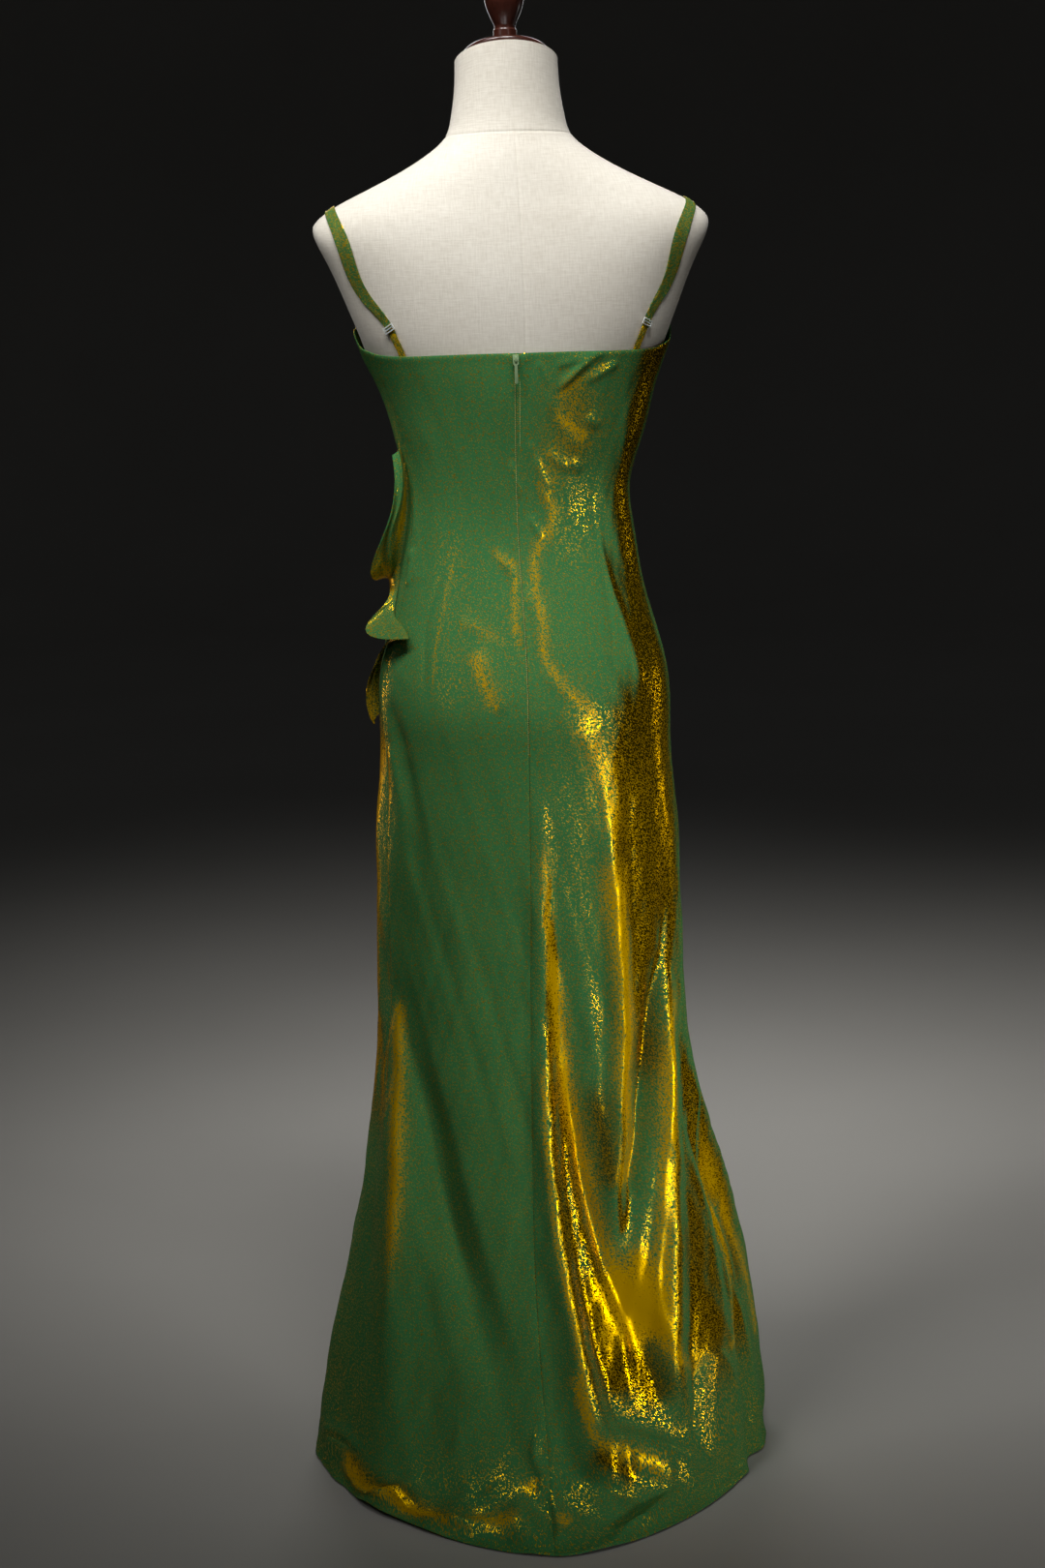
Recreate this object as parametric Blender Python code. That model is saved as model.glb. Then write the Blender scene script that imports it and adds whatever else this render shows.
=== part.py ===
"""Evening gown with a short train, standing on a limbless dress form.

The gown is three cut panels (front, back left, back right) with a centre back zip, a cascading
flounce on the wearer's left side and two adjustable shoulder straps. Every panel is a thin wall
on one shape function: a meridian angle goes round the body (0 at the centre back, + towards
the wearer's left) and a drop goes down it, from the bust to the hem on the floor.
Metres, +Z up, the wearer faces -Y. The origin is under the middle of the base plate.
"""
import math
from collections import namedtuple

import bmesh
import bpy
import numpy as np
from mathutils import Matrix, Vector

MM = 0.001

# Driving sizes of the cloth.
CLOTH = 1.5 * MM
SEAM_GAP = 0.3 * MM
DATUM = 1.27              # height that the gown's drop is counted from
HIP_DROP = 0.47           # drop of the hip line, above which the gown follows the form
HEM_DROP = 1.335          # drop of the hem
SIDE_LEFT = 76.0          # meridian angles of the side seams, in degrees
SIDE_RIGHT = -82.0
NECK_FADE = 0.22          # length over which the levels even out below the neckline
ARM_ROOM = 4.5 * MM       # room between the cloth and the form's flat arm plates
ARM_END = (0.08, 0.20)    # drops over which the arm plates' flat stops

# Path of the centre back seam down the body.
CENTRE_COLUMNS = ("drop", "angle")
CENTRE_ROWS = (
    (0.070, 2.5), (0.160, 3.8), (0.245, 4.2), (0.340, 1.8), (0.470, 1.6), (0.600, 2.6),
    (0.750, 4.6), (0.900, 5.6), (1.010, 5.6), (1.120, 4.2), (1.200, 2.8), (1.335, 2.0),
)

# Dress form: a linen torso, ring by ring from the neck to the flat base of the torso.
# slope tips a ring up towards the back, cut is the flat arm plate's distance from the middle.
FORM_COLUMNS = ("height", "half", "back", "front", "power", "cut", "slope")
FORM_ROWS = (
    (1.490, 0.0525, 0.0470, 0.0560, 2.0, 0.21, 0.350),
    (1.462, 0.0540, 0.0475, 0.0575, 2.0, 0.21, 0.190),
    (1.434, 0.0585, 0.0500, 0.0600, 2.0, 0.21, 0.060),
    (1.414, 0.0665, 0.0550, 0.0630, 2.0, 0.21, 0.000),
    (1.398, 0.0860, 0.0610, 0.0650, 2.0, 0.21, 0.000),
    (1.381, 0.1150, 0.0665, 0.0660, 2.0, 0.21, 0.000),
    (1.365, 0.1480, 0.0710, 0.0665, 2.0, 0.21, 0.000),
    (1.350, 0.1790, 0.0750, 0.0670, 2.0, 0.21, 0.000),
    (1.336, 0.1990, 0.0790, 0.0690, 2.1, 0.2065, 0.000),
    (1.320, 0.2065, 0.0830, 0.0730, 2.2, 0.2025, 0.000),
    (1.296, 0.1970, 0.0880, 0.0810, 2.3, 0.1915, 0.000),
    (1.268, 0.1835, 0.0920, 0.0910, 2.3, 0.1790, 0.000),
    (1.240, 0.1720, 0.0935, 0.1010, 2.3, 0.1680, 0.000),
    (1.212, 0.1600, 0.0930, 0.1100, 2.3, 0.1575, 0.000),
    (1.166, 0.1370, 0.0885, 0.1150, 2.2, 0.1480, 0.000),
    (1.116, 0.1220, 0.0795, 0.1060, 2.1, 0.1400, 0.000),
    (1.060, 0.1080, 0.0690, 0.0930, 2.1, 0.1300, 0.000),
    (1.020, 0.1110, 0.0675, 0.0910, 2.1, 0.1300, 0.000),
    (0.957, 0.1210, 0.0820, 0.0925, 2.1, 0.1400, 0.000),
    (0.905, 0.1360, 0.1010, 0.0930, 2.1, 0.1600, 0.000),
    (0.863, 0.1460, 0.1150, 0.0920, 2.1, 0.1700, 0.000),
    (0.825, 0.1480, 0.1215, 0.0915, 2.1, 0.1700, 0.000),
    (0.785, 0.1460, 0.1180, 0.0900, 2.1, 0.1700, 0.000),
    (0.745, 0.1420, 0.1110, 0.0880, 2.1, 0.1700, 0.000),
    (0.715, 0.1380, 0.1050, 0.0850, 2.1, 0.1700, 0.000),
)
BUST_ACROSS = 0.072       # the bust's two soft mounds: place, size and height
BUST_HEIGHT = 1.172
BUST_SPREAD = (0.052, 0.060)
BUST_DEPTH = 0.020

# Room between the linen and the middle of the cloth, down to the hip.
EASE_COLUMNS = ("height", "left", "right", "back", "front")
EASE_ROWS = (
    (1.270, 0.0045, 0.0045, 0.0045, 0.0060),
    (1.212, 0.0045, 0.0045, 0.0045, 0.0062),
    (1.166, 0.0050, 0.0090, 0.0045, 0.0062),
    (1.116, 0.0055, 0.0110, 0.0050, 0.0068),
    (1.060, 0.0100, 0.0080, 0.0075, 0.0070),
    (1.020, 0.0100, 0.0080, 0.0075, 0.0065),
    (0.957, 0.0090, 0.0070, 0.0055, 0.0055),
    (0.863, 0.0060, 0.0055, 0.0050, 0.0055),
    (0.800, 0.0055, 0.0060, 0.0055, 0.0060),
)

# Skirt: one row for each section, from below the hip to the hem on the floor.
SKIRT_COLUMNS = ("drop", "high_back", "high_side", "high_front",
                 "left", "right", "back", "front", "power")
SKIRT_ROWS = (
    (0.560, 0.710, 0.710, 0.710, 0.1560, 0.1585, 0.1220, 0.1000, 2.1),
    (0.670, 0.600, 0.600, 0.600, 0.1590, 0.1610, 0.1180, 0.1060, 2.1),
    (0.780, 0.490, 0.490, 0.490, 0.1630, 0.1635, 0.1180, 0.1160, 2.1),
    (0.870, 0.400, 0.400, 0.400, 0.1720, 0.1690, 0.1250, 0.1300, 2.1),
    (0.970, 0.302, 0.302, 0.305, 0.1880, 0.1850, 0.1370, 0.1500, 2.1),
    (1.055, 0.218, 0.220, 0.228, 0.2060, 0.2080, 0.1500, 0.1690, 2.05),
    (1.135, 0.140, 0.145, 0.158, 0.2255, 0.2240, 0.1680, 0.1850, 2.0),
    (1.200, 0.079, 0.085, 0.105, 0.2385, 0.2350, 0.1890, 0.1960, 1.92),
    (1.250, 0.036, 0.044, 0.073, 0.2465, 0.2400, 0.2160, 0.2040, 1.83),
    (1.290, 0.012, 0.018, 0.053, 0.2500, 0.2420, 0.2460, 0.2090, 1.72),
    (1.335, 0.001, 0.001, 0.038, 0.2520, 0.2440, 0.2840, 0.2140, 1.62),
)

# Neckline height round the body.
NECK_COLUMNS = ("angle", "height")
NECK_ROWS = (
    (0.0, 1.197), (40.0, 1.197), (60.0, 1.197), (72.0, 1.200), (82.0, 1.208), (92.0, 1.218),
    (108.0, 1.232), (124.0, 1.249), (148.0, 1.241), (180.0, 1.233),
)

# Largest folds: a ridge (or a trough, where the height is negative) that runs down the cloth.
# It starts at one angle and drop, is at full height at a second and fades or ends at a third.
Fold = namedtuple("Fold", "start_angle full_angle end_angle start full end "
                          "height end_height width_left width_right")
FOLD_FADE = 0.10          # length over which a fold that ends above the hem goes flat
FOLD_ROWS = (
    # back, from the wearer's left to the right
    (88.0, 92.0, 94.0, 0.40, 0.62, 1.335, 0.006, 0.004, 16.0, 15.0),
    (71.0, 64.0, 56.0, 0.41, 0.47, 0.56, -0.006, -0.002, 9.0, 8.0),
    (77.0, 60.0, 50.0, 0.66, 1.02, 1.335, 0.012, 0.008, 16.0, 15.0),
    (75.0, 39.0, 17.0, 0.67, 0.99, 1.14, -0.011, -0.006, 15.0, 15.0),
    (-4.0, -3.0, -15.0, 0.46, 0.94, 1.21, 0.008, 0.015, 13.0, 7.0),
    (-8.0, -18.0, -32.0, 0.58, 0.94, 1.10, -0.010, -0.004, 7.0, 11.0),
    (-37.0, -40.0, -29.0, 0.40, 0.78, 1.00, 0.011, 0.002, 9.0, 8.0),
    (-67.0, -46.0, -31.0, 0.62, 0.88, 1.01, -0.011, -0.004, 8.0, 8.0),
    (-68.0, -57.0, -42.0, 0.66, 0.92, 1.13, 0.013, 0.014, 8.0, 9.0),
    (-69.0, -80.0, -70.0, 0.72, 1.00, 1.335, -0.013, -0.010, 9.0, 8.0),
    (-75.0, -99.0, -102.0, 0.70, 1.04, 1.335, 0.020, 0.016, 12.0, 12.0),
    # front, hidden side
    (-116.0, -122.0, -126.0, 0.70, 1.05, 1.335, -0.013, -0.014, 12.0, 12.0),
    (-138.0, -144.0, -148.0, 0.62, 1.05, 1.335, 0.014, 0.018, 15.0, 14.0),
    (-160.0, -166.0, -168.0, 0.74, 1.08, 1.335, -0.011, -0.013, 13.0, 12.0),
    (178.0, 174.0, 171.0, 0.66, 1.06, 1.335, 0.013, 0.017, 15.0, 14.0),
    (156.0, 152.0, 149.0, 0.70, 1.05, 1.335, -0.012, -0.014, 12.0, 13.0),
    (134.0, 130.0, 128.0, 0.56, 1.02, 1.335, 0.010, 0.012, 14.0, 13.0),
    (112.0, 110.0, 109.0, 0.74, 1.06, 1.335, -0.010, -0.012, 11.0, 11.0),
)
FOLDS = tuple(Fold(*row) for row in FOLD_ROWS)

# Crumples of the train where it lies on the floor.
Crumple = namedtuple("Crumple", "angle drop turn height long wide")
CRUMPLES = (
    Crumple(-58.0, 1.195, 12.0, 0.030, 0.080, 0.034),
    Crumple(-30.0, 1.235, -62.0, 0.022, 0.080, 0.020),
    Crumple(-24.0, 1.300, 66.0, 0.012, 0.085, 0.013),
    Crumple(10.0, 1.285, -20.0, 0.010, 0.060, 0.018),
    Crumple(26.0, 1.308, 72.0, 0.011, 0.075, 0.013),
    Crumple(46.0, 1.290, 40.0, 0.013, 0.070, 0.016),
    Crumple(72.0, 1.270, 80.0, 0.012, 0.080, 0.014),
)
CRUMPLE_RADIUS = 0.25     # the train's radius, by which a crumple's angle is a length

# Rows of wall faces: the drop where a band ends, and the rows in it.
Band = namedtuple("Band", "end rows")
BANDS = (Band(0.090, 1), Band(0.47, 9), Band(1.05, 9), Band(HEM_DROP, 11))
COLUMNS_LEFT = 18
COLUMNS_RIGHT = 21
COLUMNS_FRONT = 36

# Flounce: where it is sewn on and where its free edge swings to, station by station.
FLOUNCE_CLOTH = 1.0 * MM
FLOUNCE_LIFT = 0.5 * MM
FLOUNCE_ACROSS = 4
FLOUNCE_STEPS = 3
FLOUNCE_COLUMNS = ("root_height", "root_angle", "edge_x", "edge_y", "edge_z")
FLOUNCE_ROWS = (
    (1.104, 80.0, 0.1310, 0.0300, 1.097),
    (1.082, 81.0, 0.1305, 0.0350, 1.066),
    (1.058, 82.0, 0.1350, 0.0360, 1.033),
    (1.034, 83.0, 0.1470, 0.0280, 1.006),
    (1.012, 84.0, 0.1580, 0.0100, 0.980),
    (0.994, 85.0, 0.1530, -0.0120, 0.965),
    (0.979, 86.0, 0.1440, -0.0200, 0.962),
    (0.966, 85.0, 0.1490, -0.0080, 0.954),
    (0.955, 84.0, 0.1580, 0.0100, 0.944),
    (0.945, 83.0, 0.1640, 0.0300, 0.922),
    (0.936, 82.0, 0.1480, 0.0560, 0.909),
    (0.926, 81.0, 0.1210, 0.0730, 0.911),
    (0.914, 81.0, 0.1400, 0.0470, 0.905),
    (0.901, 82.0, 0.1500, 0.0240, 0.893),
    (0.885, 84.0, 0.1620, 0.0120, 0.868),
    (0.866, 86.0, 0.1680, 0.0060, 0.842),
    (0.846, 86.0, 0.1640, 0.0080, 0.824),
    (0.828, 85.0, 0.1600, 0.0150, 0.816),
)

# Straps: the turn goes from the back neckline (0) over the shoulder (90) to the front (155).
STRAP_CLOTH = 1.0 * MM
STRAP_CENTRE = 1.200
STRAP_COLUMNS = ("turn", "across_left", "across_right", "wide", "lift")
STRAP_ROWS = (
    (-9.0, 0.1150, 0.1175, 0.0078, 2.60 * MM),
    (0.0, 0.1165, 0.1195, 0.0078, 2.60 * MM),
    (10.0, 0.1220, 0.1250, 0.0080, 1.90 * MM),
    (21.0, 0.1285, 0.1310, 0.0088, 1.00 * MM),
    (40.0, 0.1460, 0.1455, 0.0118, 0.85 * MM),
    (52.0, 0.1585, 0.1570, 0.0155, 0.85 * MM),
    (62.0, 0.1690, 0.1665, 0.0172, 1.00 * MM),
    (69.0, 0.1765, 0.1745, 0.0145, 1.20 * MM),
    (77.0, 0.1825, 0.1815, 0.0122, 1.20 * MM),
    (90.0, 0.1845, 0.1835, 0.0115, 1.20 * MM),
    (103.0, 0.1800, 0.1795, 0.0112, 1.20 * MM),
    (118.0, 0.1600, 0.1600, 0.0110, 1.00 * MM),
    (130.0, 0.1450, 0.1450, 0.0110, 0.85 * MM),
    (141.0, 0.1320, 0.1320, 0.0110, 1.20 * MM),
    (147.0, 0.1260, 0.1260, 0.0110, 1.40 * MM),
    (152.0, 0.1215, 0.1215, 0.0110, 1.40 * MM),
)
STRAP_JOIN = 21.0         # turn of the adjuster, where the tab meets the strap
STRAP_STEP = 5.0          # degrees of turn between the strap's sections
STRAP_GAP = 0.17          # degrees of turn between the tab and the strap
STRAP_REACH = 0.3         # longest ray from the strap's centre line
Adjuster = namedtuple("Adjuster", "width height thick bar")
ADJUSTER = Adjuster(0.0125, 0.0068, 0.0012, 0.0012)
ADJUSTER_LIFT = 0.15 * MM # room for the strap's turn under the flat frame

# Zip.
ZIP_END = 0.795
TAPE_HALF = 0.010
TAPE_CLOTH = 1.0 * MM
TAPE_SPARE = 0.1 * MM      # room for the panel's flat faces
TAPE_TOP = 3.0 * MM        # from the neckline down to the tape's top end
TAPE_STEP = 10.0 * MM      # least distance of the tape's last two rows
Slider = namedtuple("Slider", "width depth height")
SLIDER = Slider(0.0060, 0.0018, 0.0095)
SLIDER_TOP = 1.1955
SLIDER_SPREAD = 3.0        # degrees of the cloth on either side that the slider sits on
Bridge = namedtuple("Bridge", "width bar length clear")
BRIDGE = Bridge(0.0014, 0.0009, 0.0050, 0.0019)
Pull = namedtuple("Pull", "length thick head tip hole_width hole_height")
PULL = Pull(0.0240, 0.0008, 0.0052, 0.0032, 0.0032, 0.0038)
PULL_SHOULDER = 2.1 * MM   # from the window's foot to where the tab is narrow
PULL_BEVEL = 0.8 * MM

# Stand and neck block.
FORM_SIDES = 32
RING_STEP = 0.045          # a longer step between two rings gets one more between them
BASE_RADIUS = 0.160
BASE_THICK = 0.009
COLLAR_RADIUS = 0.024
COLLAR_HEIGHT = 0.046
POLE_RADIUS = 0.014
COLLAR_FOOT = 0.006
STAND_EDGE = 0.0025
CAP_COLUMNS = ("radius", "height", "slope")
CAP_ROWS = (
    (0.0440, 0.0003, 0.350), (0.0462, 0.0028, 0.350), (0.0460, 0.0062, 0.340),
    (0.0425, 0.0108, 0.300), (0.0350, 0.0158, 0.210), (0.0240, 0.0200, 0.095),
    (0.0135, 0.0220, 0.000),
)
FINIAL_PROFILE = (
    (0.0000, 0.0000), (0.0110, 0.0000), (0.0110, 0.0022), (0.0119, 0.0032), (0.0119, 0.0108),
    (0.0106, 0.0124), (0.0106, 0.0150), (0.0138, 0.0220), (0.0176, 0.0310), (0.0200, 0.0400),
    (0.0198, 0.0480), (0.0160, 0.0560), (0.0100, 0.0610), (0.0074, 0.0640), (0.0092, 0.0680),
    (0.0096, 0.0720), (0.0070, 0.0762), (0.0000, 0.0784),
)
FINIAL_SIDES = 20
BASE_SIDES = 40
POLE_SIDES = 20

COLOURS = {
    "shot_green": (0.075, 0.155, 0.045, 1.0),
    "linen": (0.62, 0.58, 0.50, 1.0),
    "dark_wood": (0.060, 0.022, 0.012, 1.0),
    "zip_metal": (0.42, 0.55, 0.36, 1.0),
    "clear_plastic": (0.86, 0.88, 0.88, 1.0),
    "stand_metal": (0.035, 0.032, 0.030, 1.0),
}


# ---------------------------------------------------------------- smooth tables

def spline(knots, values, at):
    """Natural cubic through the knots, read at any points inside them."""
    knots = np.asarray(knots, float)
    values = np.asarray(values, float)
    step = np.diff(knots)
    slope = np.diff(values) / step
    count = len(knots)
    system = np.zeros((count, count))
    right = np.zeros(count)
    system[0, 0] = 1.0
    system[-1, -1] = 1.0
    for i in range(1, count - 1):
        system[i, i - 1] = step[i - 1]
        system[i, i] = 2.0 * (step[i - 1] + step[i])
        system[i, i + 1] = step[i]
        right[i] = 6.0 * (slope[i] - slope[i - 1])
    bend = np.linalg.solve(system, right)
    at = np.clip(np.asarray(at, float), knots[0], knots[-1])
    k = np.clip(np.searchsorted(knots, at) - 1, 0, count - 2)
    a = (knots[k + 1] - at) / step[k]
    b = 1.0 - a
    curve = (a ** 3 - a) * bend[k] + (b ** 3 - b) * bend[k + 1]
    return a * values[k] + b * values[k + 1] + curve * step[k] ** 2 / 6.0


class Table:
    """Rows of named columns, read smoothly along the first column."""

    def __init__(self, columns, rows):
        data = np.array(sorted(rows), float)
        self.knots = data[:, 0]
        self.values = {name: data[:, i] for i, name in enumerate(columns)}

    def read(self, name, at):
        return spline(self.knots, self.values[name], at)


def smooth_step(edge0, edge1, x):
    """Soft ramp from 0 at edge0 to 1 at edge1."""
    u = np.clip((x - edge0) / (edge1 - edge0), 0.0, 1.0)
    return u * u * u * (u * (6.0 * u - 15.0) + 10.0)


FORM = Table(FORM_COLUMNS, FORM_ROWS)
EASE = Table(EASE_COLUMNS, EASE_ROWS)
NECK = Table(NECK_COLUMNS, NECK_ROWS)
CENTRE = Table(CENTRE_COLUMNS, CENTRE_ROWS)


def torso_rows():
    """Rows from the bust to the hip: the form's own sections with the cloth's ease."""
    heights = sorted({round(row[0], 4) for row in FORM_ROWS if 0.80 < row[0] < DATUM}
                     | {row[0] for row in EASE_ROWS}, reverse=True)
    rows = []
    for height in heights:
        ease = {name: float(EASE.read(name, height)) for name in EASE_COLUMNS[1:]}
        half = float(FORM.read("half", height))
        rows.append((DATUM - height, height, height, height,
                     half + ease["left"], half + ease["right"],
                     float(FORM.read("back", height)) + ease["back"],
                     float(FORM.read("front", height)) + ease["front"],
                     float(FORM.read("power", height))))
    return tuple(rows)


GOWN = Table(SKIRT_COLUMNS, torso_rows() + SKIRT_ROWS)


# ---------------------------------------------------------------- shape of the body

def ring_radius(angle, left, right, back, front, power, cut):
    """Distance of a ring from the middle at a meridian angle in degrees."""
    across = np.sin(np.radians(angle))
    along = np.cos(np.radians(angle))
    half = np.where(across > 0.0, left, right)
    deep = np.where(along > 0.0, back, front)
    radius = (np.abs(across / half) ** power + np.abs(along / deep) ** power) ** (-1.0 / power)
    limit = cut / np.maximum(np.abs(across), 1e-6)
    soft = 0.004
    gap = np.clip(0.5 + 0.5 * (limit - radius) / soft, 0.0, 1.0)
    return limit * (1.0 - gap) + radius * gap - soft * gap * (1.0 - gap)


def bust(x, height, front_share):
    """Forward swell of the bust's two soft mounds."""
    spread_x, spread_z = BUST_SPREAD
    swell = np.exp(-((np.abs(x) - BUST_ACROSS) / spread_x) ** 2
                   - ((height - BUST_HEIGHT) / spread_z) ** 2)
    return BUST_DEPTH * swell * np.clip(front_share, 0.0, 1.0) ** 1.5


def form_point(angle, height, out=0.0):
    """Point on the dress form's linen, moved out by a distance."""
    angle, height = np.broadcast_arrays(np.asarray(angle, float), np.asarray(height, float))
    half = FORM.read("half", height) + out
    radius = ring_radius(angle, half, half, FORM.read("back", height) + out,
                         FORM.read("front", height) + out, FORM.read("power", height),
                         FORM.read("cut", height) + out)
    along = np.cos(np.radians(angle))
    x = radius * np.sin(np.radians(angle))
    y = radius * along - bust(x, height, -along)
    z = height + FORM.read("slope", height) * y
    return np.stack([x, y, z], axis=-1)


def gown_base(angle, drop):
    """Middle of the cloth before folds."""
    angle, drop = np.broadcast_arrays(np.asarray(angle, float), np.asarray(drop, float))
    along = np.cos(np.radians(angle))
    across = np.sin(np.radians(angle))
    cut = FORM.read("cut", DATUM - np.clip(drop, 0.0, HIP_DROP)) + ARM_ROOM
    cut = cut + smooth_step(*ARM_END, drop) * cut
    radius = ring_radius(angle, GOWN.read("left", drop), GOWN.read("right", drop),
                         GOWN.read("back", drop), GOWN.read("front", drop),
                         GOWN.read("power", drop), cut)
    side = GOWN.read("high_side", drop)
    end = np.where(along > 0.0, GOWN.read("high_back", drop), GOWN.read("high_front", drop))
    z = side + (end - side) * along ** 2
    x = radius * across
    y = radius * along - bust(x, z, -along)
    return np.stack([x, y, z], axis=-1)


def turn_between(angle, centre):
    """Signed angle from a centre, the short way round."""
    return (angle - centre + 180.0) % 360.0 - 180.0


def fold_height(angle, drop):
    """Sum of the large folds and the train's crumples."""
    total = np.zeros(np.broadcast(angle, drop).shape)
    for fold in FOLDS:
        upper = np.clip((drop - fold.start) / (fold.full - fold.start), 0.0, 1.0)
        lower = np.clip((drop - fold.full) / (fold.end - fold.full), 0.0, 1.0)
        centre = fold.start_angle + turn_between(fold.full_angle, fold.start_angle) * upper
        centre = centre + turn_between(fold.end_angle, fold.full_angle) * lower
        away = turn_between(angle, centre)
        width = np.where(away > 0.0, fold.width_left, fold.width_right)
        shape = np.cos(0.5 * np.pi * np.clip(away / width, -1.0, 1.0)) ** 2
        size = fold.height + (fold.end_height - fold.height) * lower
        if fold.end < HEM_DROP:
            size = size * (1.0 - smooth_step(fold.end, fold.end + FOLD_FADE, drop))
        total = total + size * smooth_step(fold.start, fold.full, drop) * shape
    return total


def crumple_height(angle, drop):
    """Humps of the cloth that lies on the floor."""
    total = np.zeros(np.broadcast(angle, drop).shape)
    for crumple in CRUMPLES:
        round_way = np.radians(turn_between(angle, crumple.angle)) * CRUMPLE_RADIUS
        down_way = drop - crumple.drop
        cos_turn = math.cos(math.radians(crumple.turn))
        sin_turn = math.sin(math.radians(crumple.turn))
        run = down_way * cos_turn + round_way * sin_turn
        side = round_way * cos_turn - down_way * sin_turn
        hump = np.exp(-2.0 * (run / crumple.long) ** 2 - (side / crumple.wide) ** 2)
        total = total + crumple.height * hump
    return total


def gown_normal(angle, drop):
    """Outward unit normal of the cloth before folds."""
    da = 0.2
    dd = 0.001
    low = np.clip(drop - dd, 0.0, HEM_DROP)
    high = np.clip(drop + dd, 0.0, HEM_DROP)
    round_way = gown_base(angle + da, drop) - gown_base(angle - da, drop)
    down_way = gown_base(angle, high) - gown_base(angle, low)
    normal = np.cross(round_way, down_way)
    return normal / np.linalg.norm(normal, axis=-1, keepdims=True)


def gown_point(angle, drop, out=0.0):
    """Point of the gown's wall at a distance out from its middle, with its folds."""
    angle, drop = np.broadcast_arrays(np.asarray(angle, float), np.asarray(drop, float))
    point = folded_middle(angle, drop) + folded_normal(angle, drop) * out
    point[..., 2] = np.maximum(point[..., 2], CLOTH / 2 + out)
    return point


def folded_middle(angle, drop):
    """Middle of the cloth with its folds, kept on the floor."""
    lift = fold_height(angle, drop)[..., None]
    middle = gown_base(angle, drop) + gown_normal(angle, drop) * lift
    middle[..., 2] += crumple_height(angle, drop)
    middle[..., 2] = np.maximum(middle[..., 2], CLOTH / 2)
    return middle


def folded_normal(angle, drop):
    """Outward unit normal of the folded cloth."""
    da = 0.4
    dd = 0.003
    low = np.clip(drop - dd, 0.0, HEM_DROP)
    high = np.clip(drop + dd, 0.0, HEM_DROP)
    round_way = folded_middle(angle + da, drop) - folded_middle(angle - da, drop)
    down_way = folded_middle(angle, high) - folded_middle(angle, low)
    normal = np.cross(round_way, down_way)
    return normal / np.linalg.norm(normal, axis=-1, keepdims=True)


def level_drops():
    """Drops of the wall's rows at the centre back, from the neckline to the hem."""
    start = DATUM - float(NECK.read("height", 0.0))
    drops = [start]
    for band in BANDS:
        drops += list(np.linspace(drops[-1], band.end, band.rows + 1)[1:])
    return np.array(drops)


def drop_at(angle, level):
    """Drop of a level at a meridian angle: the levels follow the neckline at the top."""
    neck = DATUM - NECK.read("height", np.abs(turn_between(angle, 0.0)))
    start = DATUM - float(NECK.read("height", 0.0))
    fade = np.clip(1.0 - (level - start) / NECK_FADE, 0.0, 1.0) ** 1.5
    return level + (neck - start) * fade


def laid_point(angle, drop, out):
    """Point of the wall as its rows of flat faces have it, for a piece that lies on it."""
    angle, drop = np.broadcast_arrays(np.asarray(angle, float), np.asarray(drop, float))
    levels = level_drops()
    rows = np.stack([drop_at(angle, level) for level in levels])
    k = np.clip((rows <= drop[None]).sum(axis=0) - 1, 0, len(levels) - 2)
    upper = np.take_along_axis(rows, k[None], axis=0)[0]
    lower = np.take_along_axis(rows, k[None] + 1, axis=0)[0]
    share = ((drop - upper) / (lower - upper))[..., None]
    return gown_point(angle, upper, out) * (1.0 - share) + gown_point(angle, lower, out) * share


# ---------------------------------------------------------------- meshes

def material(name):
    """Principled material in one of the named colours."""
    found = bpy.data.materials.get(name)
    if found:
        return found
    made = bpy.data.materials.new(name)
    made.use_nodes = True
    shader = made.node_tree.nodes["Principled BSDF"]
    shader.inputs["Base Color"].default_value = COLOURS[name]
    metal = name in ("zip_metal", "stand_metal")
    shader.inputs["Metallic"].default_value = 1.0 if metal else 0.0
    shader.inputs["Roughness"].default_value = 0.35 if metal else 0.6
    made.diffuse_color = COLOURS[name]
    return made


def add_object(name, mesh, colour, smooth_angle=40.0):
    """Links a mesh as a named object with its own material."""
    mesh.materials.append(material(colour))
    mesh.shade_smooth()
    mesh.set_sharp_from_angle(angle=math.radians(smooth_angle))
    made = bpy.data.objects.new(name, mesh)
    bpy.context.scene.collection.objects.link(made)
    return made


def wall_mesh(name, outer, inner):
    """Closed wall between two grids of points that face each other."""
    rows, columns = outer.shape[:2]
    points = np.concatenate([outer.reshape(-1, 3), inner.reshape(-1, 3)])
    count = rows * columns

    def at(row, column, side):
        return side * count + row * columns + column

    faces = []
    for i in range(rows - 1):
        for j in range(columns - 1):
            for side in (0, 1):
                corners = [at(i, j, side), at(i + 1, j, side),
                           at(i + 1, j + 1, side), at(i, j + 1, side)]
                halves = ((0, 1, 2), (0, 2, 3)) if side == 0 else ((0, 2, 1), (0, 3, 2))
                faces += [tuple(corners[k] for k in half) for half in halves]
    rim = [(i, 0) for i in range(rows)] + [(rows - 1, j) for j in range(1, columns)]
    rim += [(i, columns - 1) for i in range(rows - 2, -1, -1)]
    rim += [(0, j) for j in range(columns - 2, 0, -1)]
    for (i, j), (k, m) in zip(rim, rim[1:] + rim[:1]):
        faces.append((at(i, j, 0), at(i, j, 1), at(k, m, 1), at(k, m, 0)))
    mesh = bpy.data.meshes.new(name)
    mesh.from_pydata(points.tolist(), [], faces)
    fix_outward(mesh)
    return mesh


def fix_outward(mesh):
    """Turns the faces of a closed mesh to point out and splits them into triangles."""
    work = bmesh.new()
    work.from_mesh(mesh)
    bmesh.ops.triangulate(work, faces=work.faces, quad_method="SHORT_EDGE")
    if work.calc_volume(signed=True) < 0.0:
        bmesh.ops.reverse_faces(work, faces=work.faces)
    work.to_mesh(mesh)
    work.free()


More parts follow.
